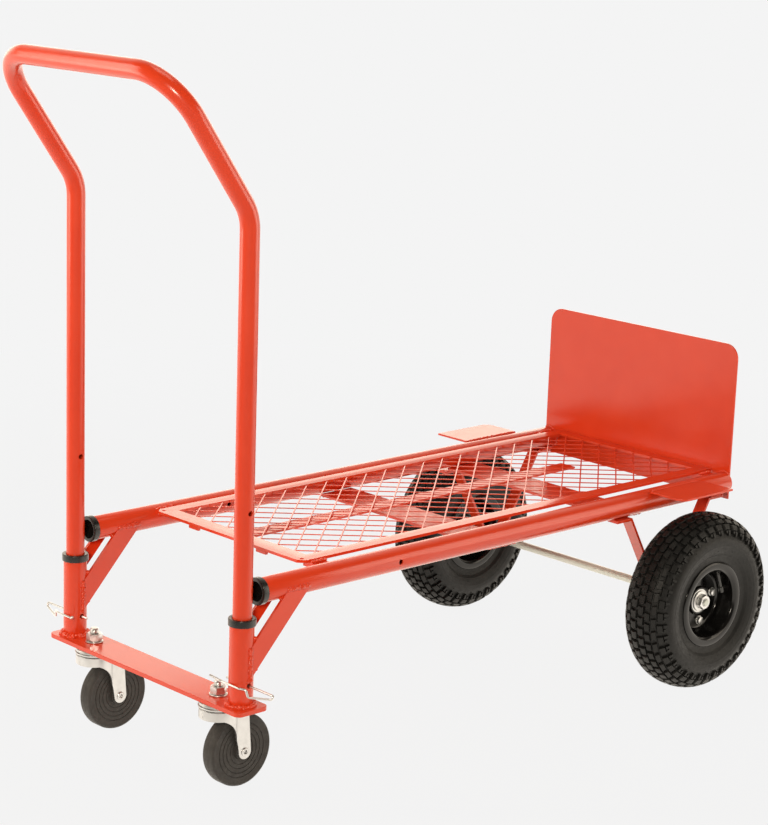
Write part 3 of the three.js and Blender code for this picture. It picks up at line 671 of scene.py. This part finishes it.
def collar(name, node, length, place):
    """A cap over a tube's end: a thick lip, a thin skirt outside the tube and a sleeve inside it."""
    bore, liner, inner, outer = 12.9 * MM, 13.8 * MM, TUBE_RADIUS + 0.15 * MM, TUBE_RADIUS + COLLAR_WALL
    skirt, step = length - COLLAR_LIP, 0.2 * MM
    points = [(bore, -COLLAR_SLEEVE), (liner, -COLLAR_SLEEVE), (liner, step), (inner, step), (inner, -skirt),
              (outer, -skirt), (outer, COLLAR_LIP), (bore, COLLAR_LIP)]
    made = lathe(name, eased(points, mm(0.3, 0.3, 0.1, 0.1, 0.2, 0.5, 0.9, 0.8)))
    finish_piece(made, PLASTIC, node, place=place)


for word, _ in SIDES:
    y = Box("rail_" + word).middle.y
    cap = Box("rail_collar_" + word)
    collar("rail_end_cap_" + word, "rail_collar_" + word, cap.size[0],
           shift(cap.low.x + COLLAR_LIP, y, RAIL_Z) @ ALONG_X.inverted())
    cap = Box("socket_collar_" + word)
    collar("socket_end_cap_" + word, "socket_collar_" + word, cap.size[2],
           shift(SOCKET_X, y, cap.high.z - COLLAR_LIP))

# ---- plates and bars


def flat_plate(name, node, axes, radii, steps, edge=0.5 * MM, holes=()):
    """A flat sheet: its corners rounded, its holes drilled and its edges broken."""
    low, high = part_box(node)
    a, b, across = axes
    outline = eased(rectangle(low[a], low[b], high[a], high[b]), radii, steps)
    made = prism(name, outline, low[across], high[across], flat if across == 2 else upright_x)
    for place in holes:
        drill = rod(STEM_RADIUS + CLEARANCE, low[across] - 1, high[across] + 1)
        combined(made, moved(drill, shift(place.x, place.y, 0)))
    softened(made, edge, 3)
    finish_piece(made, RED, node, sharp=12)


flat_plate("toe_plate_sheet", "toe_plate", (1, 2, 0), [0, 0, PLATE_CORNER, PLATE_CORNER], 14)
flat_plate("caster_bar_flat", "caster_bar", (0, 1, 2), BAR_CORNER, 10, 0.9 * MM,
           [Box("caster_stem_" + word).middle for word, _ in SIDES])
for word, sign in SIDES:
    flat_plate("wheel_guard_sheet_" + word, "wheel_guard_" + word, (0, 1, 2),
               [0, 0, GUARD_CORNER, 0] if sign > 0 else [GUARD_CORNER, 0, 0, 0], 14)
for node in ("cross_strap_rear", "cross_strap_front", "deck_frame", "deck_centre_bar"):
    refined(node)
for word, _ in SIDES:
    for node in ("gusset_", "corner_brace_", "axle_bracket_"):
        refined(node + word, 0.45 * MM)


def deck_strands():
    """Two layers of strands between the flat bars of the deck."""
    low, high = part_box("deck_mesh")
    half, length, slope = 132.5 * MM, high.x - low.x, MESH_PITCH / MESH_CROSS_PITCH
    crossing = 44.5 * MM  # from the deck's rear end to the place where two strands cross
    lean = slope * 2 * half
    first_edge = crossing + STRAND_WIDTH * math.hypot(1, slope) / 2 - lean / 2
    # a strand of unit length, width and thickness, with its edges rounded off in section
    section = eased(rectangle(-0.5, -0.5, 0.5, 0.5), 0.22, 2)
    made = grown(prism("deck_mesh_strands", section, -0.5, 0.5, upright_x), strand_tree(), RED,
                 Pitch=MESH_PITCH, Slope=slope, Length=length, Half=half, Layer=STRAND_LAYER,
                 Strand=STRAND_WIDTH, Start=first_edge - math.ceil(lean / MESH_PITCH) * MESH_PITCH,
                 Count=int((length + 2 * lean) / MESH_PITCH) + 2)
    moved(made, shift(low.x, 0, (low.z + high.z) / 2))
    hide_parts("deck_mesh")


deck_strands()

# ---- zinc-plated wire pins


def hitch_pin(word, sign):
    """Spring wire: a straight leg through the socket, and a returning one that lies behind it."""
    y = Box("socket_" + word).middle.y
    loop = TUBE_RADIUS + PIN_WIRE + CLEARANCE
    tip, tail, step = TUBE_RADIUS + 48 * MM, -TUBE_RADIUS - 12 * MM, TUBE_RADIUS + 12 * MM
    corners = [Vector((SOCKET_X + x, y + sign * across, PIN_HEIGHT + z)) for x, across, z in (
        (0, tail, 0), (0, tip, 0), (-2 * MM, tip - 3 * MM, -5 * MM), (-12 * MM, step, -9 * MM),
        (-14 * MM, step - 2 * MM, 1 * MM), (-loop, TUBE_RADIUS, 1 * MM),
        (-loop, -TUBE_RADIUS - 2 * MM, 1 * MM), (-loop - 9 * MM, tail - 2 * MM, 8 * MM))]
    path = bent_path(corners, mm(2, 2, 3, 3, 3, 8), 12)
    made = softened(swept("hitch_pin_wire_" + word, path, PIN_WIRE, 0, 20), 0.5 * MM, 2, 60)
    finish_piece(made, BRIGHT, "hitch_pin_" + word, "pin_" + word)


for word, sign in SIDES:
    hitch_pin(word, sign)

# ---- casters


def hexagon_nut(name, node, place, height):
    """A hexagon with its corners turned off on both faces."""
    corner, face = NUT_FLATS / math.sqrt(3), NUT_FLATS / 2 * 0.96
    drop, wide = (corner - face) * 0.58, corner * 1.01
    made = prism(name, hexagon(NUT_FLATS), 0, height)
    cone = [(0, 0), (face, 0), (wide, drop), (wide, height - drop), (face, height), (0, height)]
    combined(made, lathe("cutter", cone, 72), "INTERSECT")
    combined(made, rod(STEM_RADIUS + 0.2 * MM, -height, 2 * height))
    finish_piece(made, BRIGHT, node, place=place, sharp=25)


def plain_ring(name, node, radius, low, high, place):
    """A washer or spacer with its edges eased."""
    outline = eased(rectangle(STEM_RADIUS + CLEARANCE, low, radius, high), 0.4 * MM, 2)
    finish_piece(lathe(name, outline), BRIGHT, node, place=place)


def caster_stem(word):
    stem, nut = Box("caster_stem_" + word), Box("caster_nut_" + word)
    (low, high), chamfer, head_radius = (stem.low.z, stem.high.z), 0.8 * MM, 10.5 * MM
    core, head = STEM_RADIUS - chamfer, low + 5 * MM
    base = nut.high.z - 2 * MM  # where the thread starts to show
    outline = [(0, low), (head_radius, low), (head_radius, head), (STEM_RADIUS, head),
               (STEM_RADIUS, nut.low.z), (core, nut.low.z), (core, high - chamfer), (core - chamfer, high),
               (0, high)]
    made = lathe("caster_stud_" + word, [(r, z - base) for r, z in outline])
    grown(made, thread_tree(BRIGHT), BRIGHT, "caster_stem_" + word,
          Radius=core, Pitch=THREAD_PITCH, Turns=(high - nut.high.z + 0.6 * MM) / THREAD_PITCH)
    moved(made, stem.raised(base))


def caster_race(word):
    """The upper ball race: a pressed dish with a groove round its rim."""
    race = Box("caster_race_" + word)
    outer, low, high, bore = race.size[0] / 2, race.low.z, race.high.z, STEM_RADIUS + CLEARANCE
    lip = low + race.size[2] / 3
    points = [(bore, low), (outer - 2.2 * MM, low), (outer, low + 1.2 * MM), (outer, lip),
              (outer - 2.4 * MM, lip + 0.3 * MM), (outer - 2.4 * MM, lip + 1.3 * MM),
              (outer - 0.4 * MM, lip + 1.6 * MM), (outer - 1.0 * MM, high - 1.4 * MM),
              (outer - 4 * MM, high), (bore, high)]
    radii = mm(0, 1, 0.8, 0.4, 0.2, 0.2, 0.4, 1.2, 1, 0)
    finish_piece(lathe("caster_race_cup_" + word, eased(points, radii, 4), 72), ZINC,
                 "caster_race_" + word, place=race.raised(0))


def caster_fork(word):
    """A pressed fork: a round cup whose skirt runs down into two flat arms that sweep back to the pin."""
    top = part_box("caster_fork_" + word)[1].z
    centre = Box("caster_wheel_" + word).middle
    cup_radius, cup_height, wall, half, eye, brow, lean = mm(25, 13, 2.5, 17, 10, 9, 5)
    skirt = top - cup_height
    start, pull, end = (Vector(p) for p in (
        (-brow, skirt), (CASTER_TRAIL - eye - lean, skirt - brow), (CASTER_TRAIL - eye, centre.z)))
    sweep = [tuple(start.lerp(pull, i / 16).lerp(pull.lerp(end, i / 16), i / 16)) for i in range(16)]
    ends = [polar(eye, math.pi * i / 24) for i in range(25)]
    round_eye = [(CASTER_TRAIL - across, centre.z - down) for across, down in ends]
    profile = [(-cup_radius, top), (-cup_radius, skirt)] + sweep + round_eye
    profile.append((CASTER_TRAIL + eye - lean, top))

    def plan(inset, bottom, upper):
        """Seen from above: the cup's circle, and the arms' flats behind it."""
        radius, flat = cup_radius - inset, half - inset
        turn = math.asin(flat / radius)
        curve = [polar(radius, turn + 2 * (math.pi - turn) * i / 64) for i in range(65)]
        return prism("plan", curve + [(0.1, -flat), (0.1, flat)], bottom, upper)

    made = prism("caster_fork_pressing_" + word, profile, -half * 2, half * 2, upright_y)
    combined(made, plan(0, -0.01, top - wall / 2), "INTERSECT")
    cup = eased(rectangle(0, skirt, cup_radius, top), mm(0, 0.4, 3, 0), 6, False)
    combined(made, lathe("cup", cup, 72), "UNION")
    combined(made, plan(wall, -0.01, top - wall))
    combined(made, rod(STEM_RADIUS + CLEARANCE, skirt, top + 1 * MM))
    pin_hole = moved(rod(CASTER_PIN_HOLE, -30 * MM, 30 * MM), on_axle((CASTER_TRAIL, 0, centre.z)))
    combined(made, pin_hole)
    softened(made, 0.4 * MM, 2, 50)
    finish_piece(made, ZINC, "caster_fork_" + word, "fork_" + word, shift(SOCKET_X, centre.y, 0), 30)


def caster_wheel(word):
    wheel = Box("caster_wheel_" + word)
    outer, half, hub_half, hub = wheel.size[2] / 2, 11 * MM, wheel.size[1] / 2, 12 * MM
    face, groove = half - 1 * MM, half - 1.8 * MM
    side = [(CASTER_PIN_HOLE, hub_half), (hub, hub_half), (hub + 0.8 * MM, face)]
    at = hub + 6 * MM
    while at < outer - 8 * MM:  # shallow rings left by the mould
        side += [(at, face), (at + 0.3 * MM, groove), (at + 1.2 * MM, groove), (at + 1.5 * MM, face)]
        at += 6 * MM
    side += [(outer - 6 * MM, half - 0.6 * MM), (outer - 3 * MM, half), (outer - 0.8 * MM, half - 1.6 * MM),
             (outer, half - 4.0 * MM), (outer, 0.3 * MM), (outer - 0.3 * MM, 0)]
    finish_piece(lathe("caster_wheel_tread_" + word, mirrored(side, 1), 96), CASTER, "caster_wheel_" + word,
                 "caster_" + word, on_axle(wheel.middle), 25)


def caster_pin(word):
    """A tubular rivet, rolled over at both ends."""
    pin = Box("caster_pin_" + word)
    end, head, shank, dip = pin.size[1] / 2, 5.5 * MM, 4 * MM, 2.2 * MM
    face = [(0, end - 2.5 * MM), (dip, end - 2.5 * MM), (dip + 0.6 * MM, end - 0.4 * MM),
            (dip + 1.2 * MM, end), (head - 0.9 * MM, end - 0.1 * MM), (head, end - 0.9 * MM),
            (head, end - 1.5 * MM), (shank, end - 1.5 * MM)]
    finish_piece(lathe("caster_rivet_" + word, mirrored(face), 40), ZINC, "caster_pin_" + word,
                 "fork_" + word, on_axle(pin.middle), 30)


for word, sign in SIDES:
    caster_stem(word)
    washer, nut = Box("caster_washer_" + word), Box("caster_nut_" + word)
    plain_ring("caster_stud_washer_" + word, "caster_washer_" + word, 12 * MM, washer.low.z, washer.high.z,
               washer.raised(0))
    hexagon_nut("caster_stud_nut_" + word, "caster_nut_" + word,
                nut.raised(nut.low.z) @ Matrix.Rotation(0.4 * sign, 4, "Z"), nut.size[2])
    caster_race(word)
    caster_fork(word)
    caster_wheel(word)
    caster_pin(word)

# ---- pneumatic wheels


def section_point(angle, radial, half, centre):
    """A point (radius, across) of the tyre's squarish section."""
    c, s = (math.copysign(abs(v) ** TYRE_POWER, v) for v in polar(1, angle))
    return (centre + radial * c, half * s)


class TyreSection:
    """A tyre's outer face, with and without its tread; angles run from the tread to the sidewalls."""

    def __init__(self, node):
        box = Box(node)
        self.centre = box.middle
        self.half = box.size[1] / 2
        self.ring = box.size[2] / 2 - TYRE_RADIAL

    def depth(self, angle):
        """How far the rubber between the blocks lies under the mould's face."""
        fade = min(1.0, max(0.0, (math.radians(94) - abs(angle)) / math.radians(22)))
        return SKIN + TREAD_DEPTH * fade * fade * (3 - 2 * fade)

    def at(self, angle, share, sink=0.0):
        """A point of the section: share 0 lies between the blocks and 1 on their faces."""
        inset = self.depth(angle) + sink - share * (self.depth(angle) - SKIN)
        return section_point(angle, TYRE_RADIAL - inset, self.half - inset, self.ring)


def round_axle(point, turn):
    """A point (radius, across) carried round a wheel's axis."""
    radius, across = point
    return (radius * math.cos(turn), across, radius * math.sin(turn))


def tyre_carcass(word, section):
    seat, bead = RIM_WELL + 0.4 * MM, RIM_EDGE - RIM_SHEET - CLEARANCE
    # two fine mould ribs run round each sidewall
    outer = [section.at(math.radians(a), 0, -0.4 * MM if abs(a) in (100, 120) else 0.0)
             for a in range(-130, 131, 2)]
    inner = [section_point(math.radians(a), TYRE_RADIAL - TYRE_WALL, section.half - TYRE_WALL, section.ring)
             for a in range(135, -136, -15)]
    outline = [(seat, -bead)] + outer + [(seat, bead), (seat, bead - TYRE_WALL)] + inner
    outline.append((seat, -bead + TYRE_WALL))
    finish_piece(lathe("tyre_carcass_" + word, outline, 144), TYRE, "tyre_" + word, "wheel_" + word,
                 on_axle(section.centre), 50)


def tread_block(section, corners):
    """A block of tread over a patch given by corners (turn, angle): a foot, steep sides and a face."""
    count = len(corners)
    middle_turn = sum(c[0] for c in corners) / count
    middle_angle = sum(c[1] for c in corners) / count

    def ring(shrink, share, sink=0.0):
        row = []
        for i, (turn, angle) in enumerate(corners):
            after = corners[(i + 1) % count]
            for t in (0.0, 0.5):
                u, v = turn + (after[0] - turn) * t, angle + (after[1] - angle) * t
                u, v = middle_turn + (u - middle_turn) * shrink, middle_angle + (v - middle_angle) * shrink
                row.append(round_axle(section.at(v, share, sink), u))
        return row

    vertices = ring(1.08, 0, 0.8 * MM) + ring(1.0, 0.84) + ring(0.9, 1)
    size = 2 * count
    faces = [list(range(size))] + band(0, size, size) + band(size, 2 * size, size)
    faces += [[2 * size + i, 2 * size + (i + 1) % size, 3 * size] for i in range(size)]
    return vertices + [round_axle(section.at(middle_angle, 1), middle_turn)], faces


def round_wheel(made, section, material, word, sharp, count, first=0.0):
    """Copies a piece of a wheel round its axle."""
    grown(made, ring_tree(material), material, None, "wheel_" + word, sharp, Count=count, First=first)
    moved(made, Matrix.Translation(section.centre))


def blocks(name, word, section, count, patches):
    """One pitch of tread blocks on each side, half a pitch apart, copied round the wheel."""
    pitch = 2 * math.pi / count
    vertices, faces = [], []
    for side, lead in ((1, 0.5), (-1, 0.0)):
        for patch in patches:
            corners = [(pitch * (lead + u), math.radians(side * v)) for u, v in patch]
            more, sides = tread_block(section, corners)
            faces += [[i + len(vertices) for i in face] for face in sides]
            vertices += more
    round_wheel(shape(name + word, vertices, faces), section, TYRE, word, 40, count)


def tread(word, section):
    """Staggered rows of small blocks, and wider lugs that end in prongs of two lengths.

    Each patch is given by its corners (share of the pitch, degrees from the middle of the tread)."""
    blocks("tyre_tread_blocks_", word, section, 50, (
        ((0.02, 1.5), (0.72, 1.5), (0.82, 8), (0.72, 14), (0.02, 14), (0.12, 8)),
        ((0.5, 17.5), (1.18, 17.5), (1.28, 30), (0.6, 30))))
    blocks("tyre_shoulder_lugs_", word, section, 40, (
        ((0.06, 34), (0.76, 34), (0.7, 46), (0.0, 46)),
        ((0.5, 49), (1.2, 50), (1.14, 65), (0.54, 64)),
        ((0.54, 66), (0.82, 66), (0.76, 79), (0.58, 79)),
        ((0.9, 67), (1.12, 67), (1.08, 74), (0.94, 74))))


def vent_nibs(word, section):
    """The little spikes of rubber that a mould's vents leave, trimmed short on both sidewalls."""
    work = bmesh.new()
    for side in (1, -1):
        for angle, turn in ((86, 0.0), (100, 0.16), (112, 0.31)):
            place = round_axle(section.at(side * math.radians(angle), 0, CLEARANCE), turn)
            bmesh.ops.create_icosphere(work, subdivisions=1, radius=1.0 * MM, matrix=Matrix.Translation(place))
    round_wheel(released(work, "tyre_vent_nibs_" + word), section, TYRE, word, 0, 15)


def rim_half(word, sign, which, section):
    """A pressed half of the rim: a hub housing, a dished web, a well for the tyre and a rolled flange."""
    face = sign if which == "outer" else -sign
    well, sheet, edge, web = RIM_WELL, RIM_SHEET, RIM_EDGE - RIM_SHEET, RIM_GAP + RIM_SHEET
    bend = well - 6 * MM
    lip = [(well + (FLANGE_RADIUS - well) * (1 - math.cos(math.radians(a))) / 2,
            RIM_EDGE - sheet * (1 - math.sin(math.radians(a)))) for a in range(165, 14, -15)]
    points = [(HUB_HOUSING, RIM_GAP), (bend, RIM_GAP), (well, edge), (FLANGE_RADIUS, edge)] + lip
    points += [(well - sheet, edge - 1.5 * MM), (bend - sheet, web), (HUB_HOUSING + sheet, web),
               (HUB_HOUSING + sheet, HUB_FACE), (HUB_HOUSING, HUB_FACE)]
    radii = mm(0.5, 2, 1.6, 0.3) + [0] * len(lip) + mm(4, 4, 2, 0.7, 0.3)
    made = lathe(f"rim_{which}_pressing_{word}", [(r, face * z) for r, z in eased(points, radii, 6)], 96)
    finish_piece(made, ENAMEL, f"rim_{which}_{word}", "wheel_" + word, on_axle(section.centre), 50)


def rim_bolts(word, sign, section):
    """Four bolts through both halves of the rim, with their heads outside."""
    base, height, circle = RIM_SHEET + RIM_GAP, 5 * MM, 32.4 * MM
    head = prism("rim_bolts_" + word, hexagon(10 * MM), base, base + height)
    washer = eased(rectangle(0, base - 0.3 * MM, 6.6 * MM, base + 1.2 * MM), 0.3 * MM, 2, False)
    combined(head, lathe("cutter", washer, 28), "UNION")
    softened(head, 0.4 * MM, 2, 40)
    moved(head, on_axle((circle, 0, 0), sign))
    round_wheel(head, section, BRIGHT, word, 30, 4, math.radians(-12))


def valve(word, sign, section):
    """A bent valve of the inner tube: a rubber foot, a stem and its cap."""
    corners = [section.centre + Vector((x * MM, sign * across * MM, z * MM))
               for x, across, z in ((25.5, 15, 44.5), (24, 18, 39), (35, 18, 10))]
    stem = swept("valve_stem_" + word, bent_path(corners, [5 * MM], 9), 2.9 * MM)
    finish_piece(softened(stem, 0.8 * MM, 2, 60), PLASTIC, None, "wheel_" + word)
    tip, direction = corners[2], (corners[2] - corners[1]).normalized()
    cap = swept("valve_cap_" + word, [
        (tip - direction * 9 * MM, direction), (tip + direction * 0.6 * MM, direction)], 3.9 * MM)
    finish_piece(softened(cap, 1.0 * MM, 3, 60), PLASTIC, None, "wheel_" + word)


def bearing(word, which):
    """A deep-groove ball bearing: two steel rings and the shield between them."""
    node = f"wheel_bearing_{which}_{word}"
    box = Box(node)
    half, inner, outer, shield = box.size[1] / 2, 6.2 * MM, 17.4 * MM, box.size[1] / 2 - 0.8 * MM
    side = [(inner, half), (inner + 2.6 * MM, half), (inner + 2.9 * MM, shield),
            (outer - 3.2 * MM, shield), (outer - 2.9 * MM, half), (outer, half)]
    made = lathe(f"ball_bearing_{which}_{word}", eased(mirrored(side), 0.25 * MM, 2))
    finish_piece(made, BRIGHT, node, "wheel_" + word, on_axle(box.middle), 25)


def axle_bar():
    """Drawn bar, turned down and threaded at both ends."""
    axle, nut = Box("axle"), Box("axle_nut_left")
    core, half, chamfer = 5.2 * MM, axle.size[1] / 2, 0.8 * MM
    thread_from = nut.low.y - 4 * MM
    outline = [(0, -half), (core - chamfer, -half), (core, -half + chamfer), (core, -thread_from),
               (STEM_RADIUS, -thread_from), (STEM_RADIUS, thread_from), (core, thread_from),
               (core, half - chamfer), (core - chamfer, half), (0, half)]
    finish_piece(lathe("axle_bar", outline), BAR_STEEL, "axle", place=on_axle(axle.middle))
    for word, sign in SIDES:
        stub = lathe("axle_thread_" + word, rectangle(0, -0.4 * MM, core - 0.2 * MM, 0.4 * MM), 32)
        grown(stub, thread_tree(BRIGHT), BRIGHT, Radius=core, Pitch=THREAD_PITCH,
              Turns=(half - nut.high.y + 1.6 * MM) / THREAD_PITCH)
        moved(stub, on_axle((axle.middle.x, sign * (nut.high.y - 2.4 * MM), axle.middle.z), sign))


axle_bar()
for word, sign in SIDES:
    section = TyreSection("tyre_" + word)
    tyre_carcass(word, section)
    tread(word, section)
    vent_nibs(word, section)
    for which in ("outer", "inner"):
        rim_half(word, sign, which, section)
    rim_bolts(word, sign, section)
    valve(word, sign, section)
    for which in ("outer", "inner"):
        bearing(word, which)
    for node, radius in (("axle_washer_", 15 * MM), ("axle_spacer_", 10 * MM)):
        box = Box(node + word)
        plain_ring(node + "ring_" + word, node + word, radius, -box.size[1] / 2, box.size[1] / 2,
                   on_axle(box.middle))
    nut = Box("axle_nut_" + word)
    place = (nut.middle.x, nut.low.y if sign > 0 else nut.high.y, nut.middle.z)
    hexagon_nut("axle_end_nut_" + word, "axle_nut_" + word,
                on_axle(place, sign) @ Matrix.Rotation(0.3, 4, "Z"), nut.size[1])
    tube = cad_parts["inner_tube_" + word]
    tube.data.materials.clear()
    tube.data.materials.append(TYRE)

# ---- welds


def arc(centre, radius, first, last, axis_a, axis_b, steps=40):
    a, b = Vector(axis_a), Vector(axis_b)
    turns = [math.radians(first + (last - first) * i / steps) for i in range(steps + 1)]
    return [Vector(centre) + (a * math.cos(t) + b * math.sin(t)) * radius for t in turns]


def along_x(low_x, high_x, y, z):
    return [Vector((low_x, y, z)), Vector((high_x, y, z))]


def gusset_welds(node, drop, width, rail_y):
    """Fillets down the socket and under the rail, along both faces of a corner bar."""
    low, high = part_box(node)
    climb = math.tan(math.radians(GUSSET_ANGLE))
    foot = RAIL_Z - drop - TUBE_RADIUS * climb  # where the lower edge would meet the socket's axis
    tall, run = width * math.hypot(1, climb), width * math.hypot(1, 1 / climb)
    lines = []
    for y in (low.y, high.y):
        chord = math.sqrt(max(TUBE_RADIUS**2 - (y - rail_y) ** 2, 0))
        front, under = chord + 1.5 * MM, RAIL_Z - chord - 1.5 * MM
        edge = foot + front * climb
        lines.append([Vector((SOCKET_X + front, y, edge)), Vector((SOCKET_X + front, y, edge + tall))])
        edge = (under - foot) / climb
        lines.append(along_x(SOCKET_X + edge - run, SOCKET_X + edge - 3 * MM, y, under))
    return lines


def socket_welds():
    """Rings of coarse weld where the sockets stand on the bar."""
    return [arc((SOCKET_X, Box("rail_" + word).middle.y, BAR.high.z + 0.8 * MM), TUBE_RADIUS + 1.4 * MM,
                0, 360, (1, 0, 0), (0, 1, 0)) for word, _ in SIDES]


def heavy_welds():
    """The beads that carry the load, from the corner bars to sockets and rails."""
    lines = []
    for word, _ in SIDES:
        for bar, drop, width in (("gusset_", 93.2 * MM, 27.6 * MM), ("corner_brace_", 69 * MM, 17 * MM)):
            lines += gusset_welds(bar + word, drop, width, Box("rail_" + word).middle.y)
    return lines


def light_welds():
    """Thin beads along the toe plate, guards, straps, deck and axle brackets."""
    lines = []
    plate_low, plate_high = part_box("toe_plate")
    for word, sign in SIDES:
        rail_y = Box("rail_" + word).middle.y
        past = math.degrees(math.acos((plate_high.y - 1.5 * MM - abs(rail_y)) / TUBE_RADIUS))
        lines.append(arc((plate_low.x - 0.5 * MM, rail_y, RAIL_Z), TUBE_RADIUS + 0.4 * MM, past, 360 - past,
                         (0, sign, 0), (0, 0, 1)))
        low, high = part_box("wheel_guard_" + word)
        shoulder = sign * (min(abs(low.y), abs(high.y)) - 0.4 * MM)
        lines.append(along_x(low.x + 8 * MM, high.x - 8 * MM, shoulder, high.z - 1 * MM))
        for strap in ("cross_strap_rear", "cross_strap_front"):
            low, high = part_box(strap)
            end = sign * (abs(low.y) - 1 * MM)
            lines.append(along_x(low.x + 4 * MM, high.x - 4 * MM, end, low.z - 0.2 * MM))
        low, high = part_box("deck_frame")
        inner = sign * (abs(rail_y) - TUBE_RADIUS - 0.2 * MM)
        for at in (low.x + 24 * MM, high.x - 24 * MM):
            lines.append(along_x(at - 12 * MM, at + 12 * MM, inner, low.z + 8.5 * MM))
        low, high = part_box("axle_bracket_" + word)
        for y in (low.y, high.y):
            lines.append(along_x(high.x - 28 * MM, high.x - 4 * MM, y, high.z))
    return lines


def weld_beads(name, lines, radius, seed, spacing=0.55):
    """Beads along lines; spacing is a share of the bead's radius."""
    vertices, edges = [], []
    for line in lines:
        edges += [(len(vertices) + i, len(vertices) + i + 1) for i in range(len(line) - 1)]
        vertices += line
    mesh = bpy.data.meshes.new(name)
    mesh.from_pydata(vertices, edges, [])
    grown(linked(name, mesh), WELD, RED, sharp=0, Spacing=radius * spacing, Radius=radius, Seed=seed)


WELD = weld_tree()
weld_beads("socket_weld_beads", socket_welds(), 4.4 * MM, 5, 0.9)
weld_beads("heavy_weld_beads", heavy_welds(), 3.4 * MM, 3)
weld_beads("light_weld_beads", light_welds(), 2.1 * MM, 8)

# ---- floor, light and camera

scene = bpy.context.scene
scene.view_settings.view_transform = "Standard"
BACKGROUND = linear("#F4F4F4")
LAMP_WHITE = "#FFF2DF"  # the lamps are a little warmer than the background


def ramped(tree, value, start, end, low, high):
    """A number that eases from low to high while value goes from start to end."""
    return Term(out(tree, "ShaderNodeMapRange", {
        "Value": value, "From Min": start, "From Max": end, "To Min": low, "To Max": high},
        interpolation_type="SMOOTHSTEP"))


def along(tree, vector, direction):
    return out(tree, "ShaderNodeVectorMath", {0: vector, 1: direction}, "Value", operation="DOT_PRODUCT")


def mixed(tree, share, a, b):
    return out(tree, "ShaderNodeMixShader", {0: share, 1: a, 2: b})


def lit(tree, kind, colour, strength):
    """An Emission in a material, or a Background in a world."""
    return out(tree, "ShaderNode" + kind, {"Color": colour, "Strength": strength})


def backdrop_material(name):
    """A pale surface that keeps a trace of the shadow and otherwise shows as its own colour. To
    reflections it is an overexposed studio floor, which falls off into the dark on the near side."""
    material = bpy.data.materials.new(name)
    tree = emptied(material)
    paint = out(tree, "ShaderNodeBsdfDiffuse", {"Color": (0.62, 0.62, 0.62, 1)})
    path = add(tree, "ShaderNodeLightPath").outputs
    place = out(tree, "ShaderNodeTexCoord", socket="Object")
    glare = ramped(tree, along(tree, place, (0.76, 0.65, 0)), -1.2, -0.3, 0.6, 1.8)
    plain = lit(tree, "Emission", BACKGROUND, 1.0)
    glow = mixed(tree, path["Is Glossy Ray"], plain, lit(tree, "Emission", linear("#FFF6E9"), glare))
    rays = Term(path["Is Camera Ray"]) + path["Is Glossy Ray"] + path["Is Transmission Ray"]
    distance = out(tree, "ShaderNodeVectorMath", {0: place}, "Value", operation="LENGTH")
    share = reckon("MINIMUM", 1.0, rays) * ramped(tree, distance, 0.8, 2.5, 0.97, 1.0)
    add(tree, "ShaderNodeOutputMaterial", {"Surface": mixed(tree, share, paint, glow)})
    return material


extent = 60  # half the floor's side, far beyond what the camera sees
floor_mesh = bpy.data.meshes.new("floor")
corners = [(x, y, 0) for x, y in rectangle(-extent, -extent, extent, extent)]
floor_mesh.from_pydata(corners, [], [(0, 1, 2, 3)])
floor = linked("floor", floor_mesh)
floor.location.z = cad_box[0][2] - 0.2 * MM
floor_mesh.materials.append(backdrop_material("pale_floor"))


def studio_world():
    """The plain background to the camera, and to the cart a lit wall and a dim room."""
    world = bpy.data.worlds.new("studio")
    scene.world = world
    tree = emptied(world)
    path = add(tree, "ShaderNodeLightPath").outputs
    seen = reckon("MINIMUM", 1.0, Term(path["Is Camera Ray"]) + path["Is Transmission Ray"])
    direction = out(tree, "ShaderNodeTexCoord")
    # the wall stands behind the cart, brightest low down, and the dim room is round the camera
    wall = ramped(tree, along(tree, direction, (0.64, 0.74, 0.1)), 0.3, 0.85, 0.25, 3.2)
    height = out(tree, "ShaderNodeSeparateXYZ", {"Vector": direction}, "Z")
    wall = wall * ramped(tree, height, 0.22, 0.42, 1.0, 0.4)
    ambient = lit(tree, "Background", linear(LAMP_WHITE), wall)
    plain = lit(tree, "Background", BACKGROUND, 1.0)
    add(tree, "ShaderNodeOutputWorld", {"Surface": mixed(tree, seen, ambient, plain)})


studio_world()


def soft_box(name, place, target, width, height, power):
    data = bpy.data.lights.new(name, "AREA")
    data.shape = "RECTANGLE"
    data.size, data.size_y = width, height
    data.energy = power
    data.color = linear(LAMP_WHITE)[:3]
    lamp = linked(name, data)
    lamp.location = place
    lamp.rotation_euler = (Vector(target) - Vector(place)).to_track_quat("-Z", "Y").to_euler()


soft_box("left_soft_box", (-1.4, 0.85, 1.0), (-0.1, 0, 0.5), 0.7, 1.4, 14)
soft_box("right_soft_box", (1.5, -1.7, 0.9), (0.1, 0, 0.35), 1.2, 1.5, 18)
soft_box("overhead_soft_box", (-0.2, -0.2, 2.4), (0, 0, 0.3), 0.9, 0.9, 7)
soft_box("front_key", (-2.7, -2.2, 1.5), (0, 0, 0.4), 0.5, 0.5, 65)


def three_quarter_camera():
    """Low three-quarter view over the right rear corner, through a long lens."""
    azimuth, elevation, roll = -40.615, 14.287, 1.222
    turned = Matrix.Identity(4)
    for degrees, axis in ((azimuth, "Z"), (90 - elevation, "X"), (roll, "Z")):
        turned @= Matrix.Rotation(math.radians(degrees), 4, axis)
    data = bpy.data.cameras.new("camera")
    data.sensor_width = 36
    data.lens = 105.85
    data.shift_x, data.shift_y = 0.1536, 0.0585
    data.clip_start, data.clip_end = 0.05, 200
    camera = linked("camera", data)
    camera.matrix_world = shift(-2.26755, -2.3752, 1.1798) @ turned
    scene.camera = camera


three_quarter_camera()

bpy.context.view_layer.update()
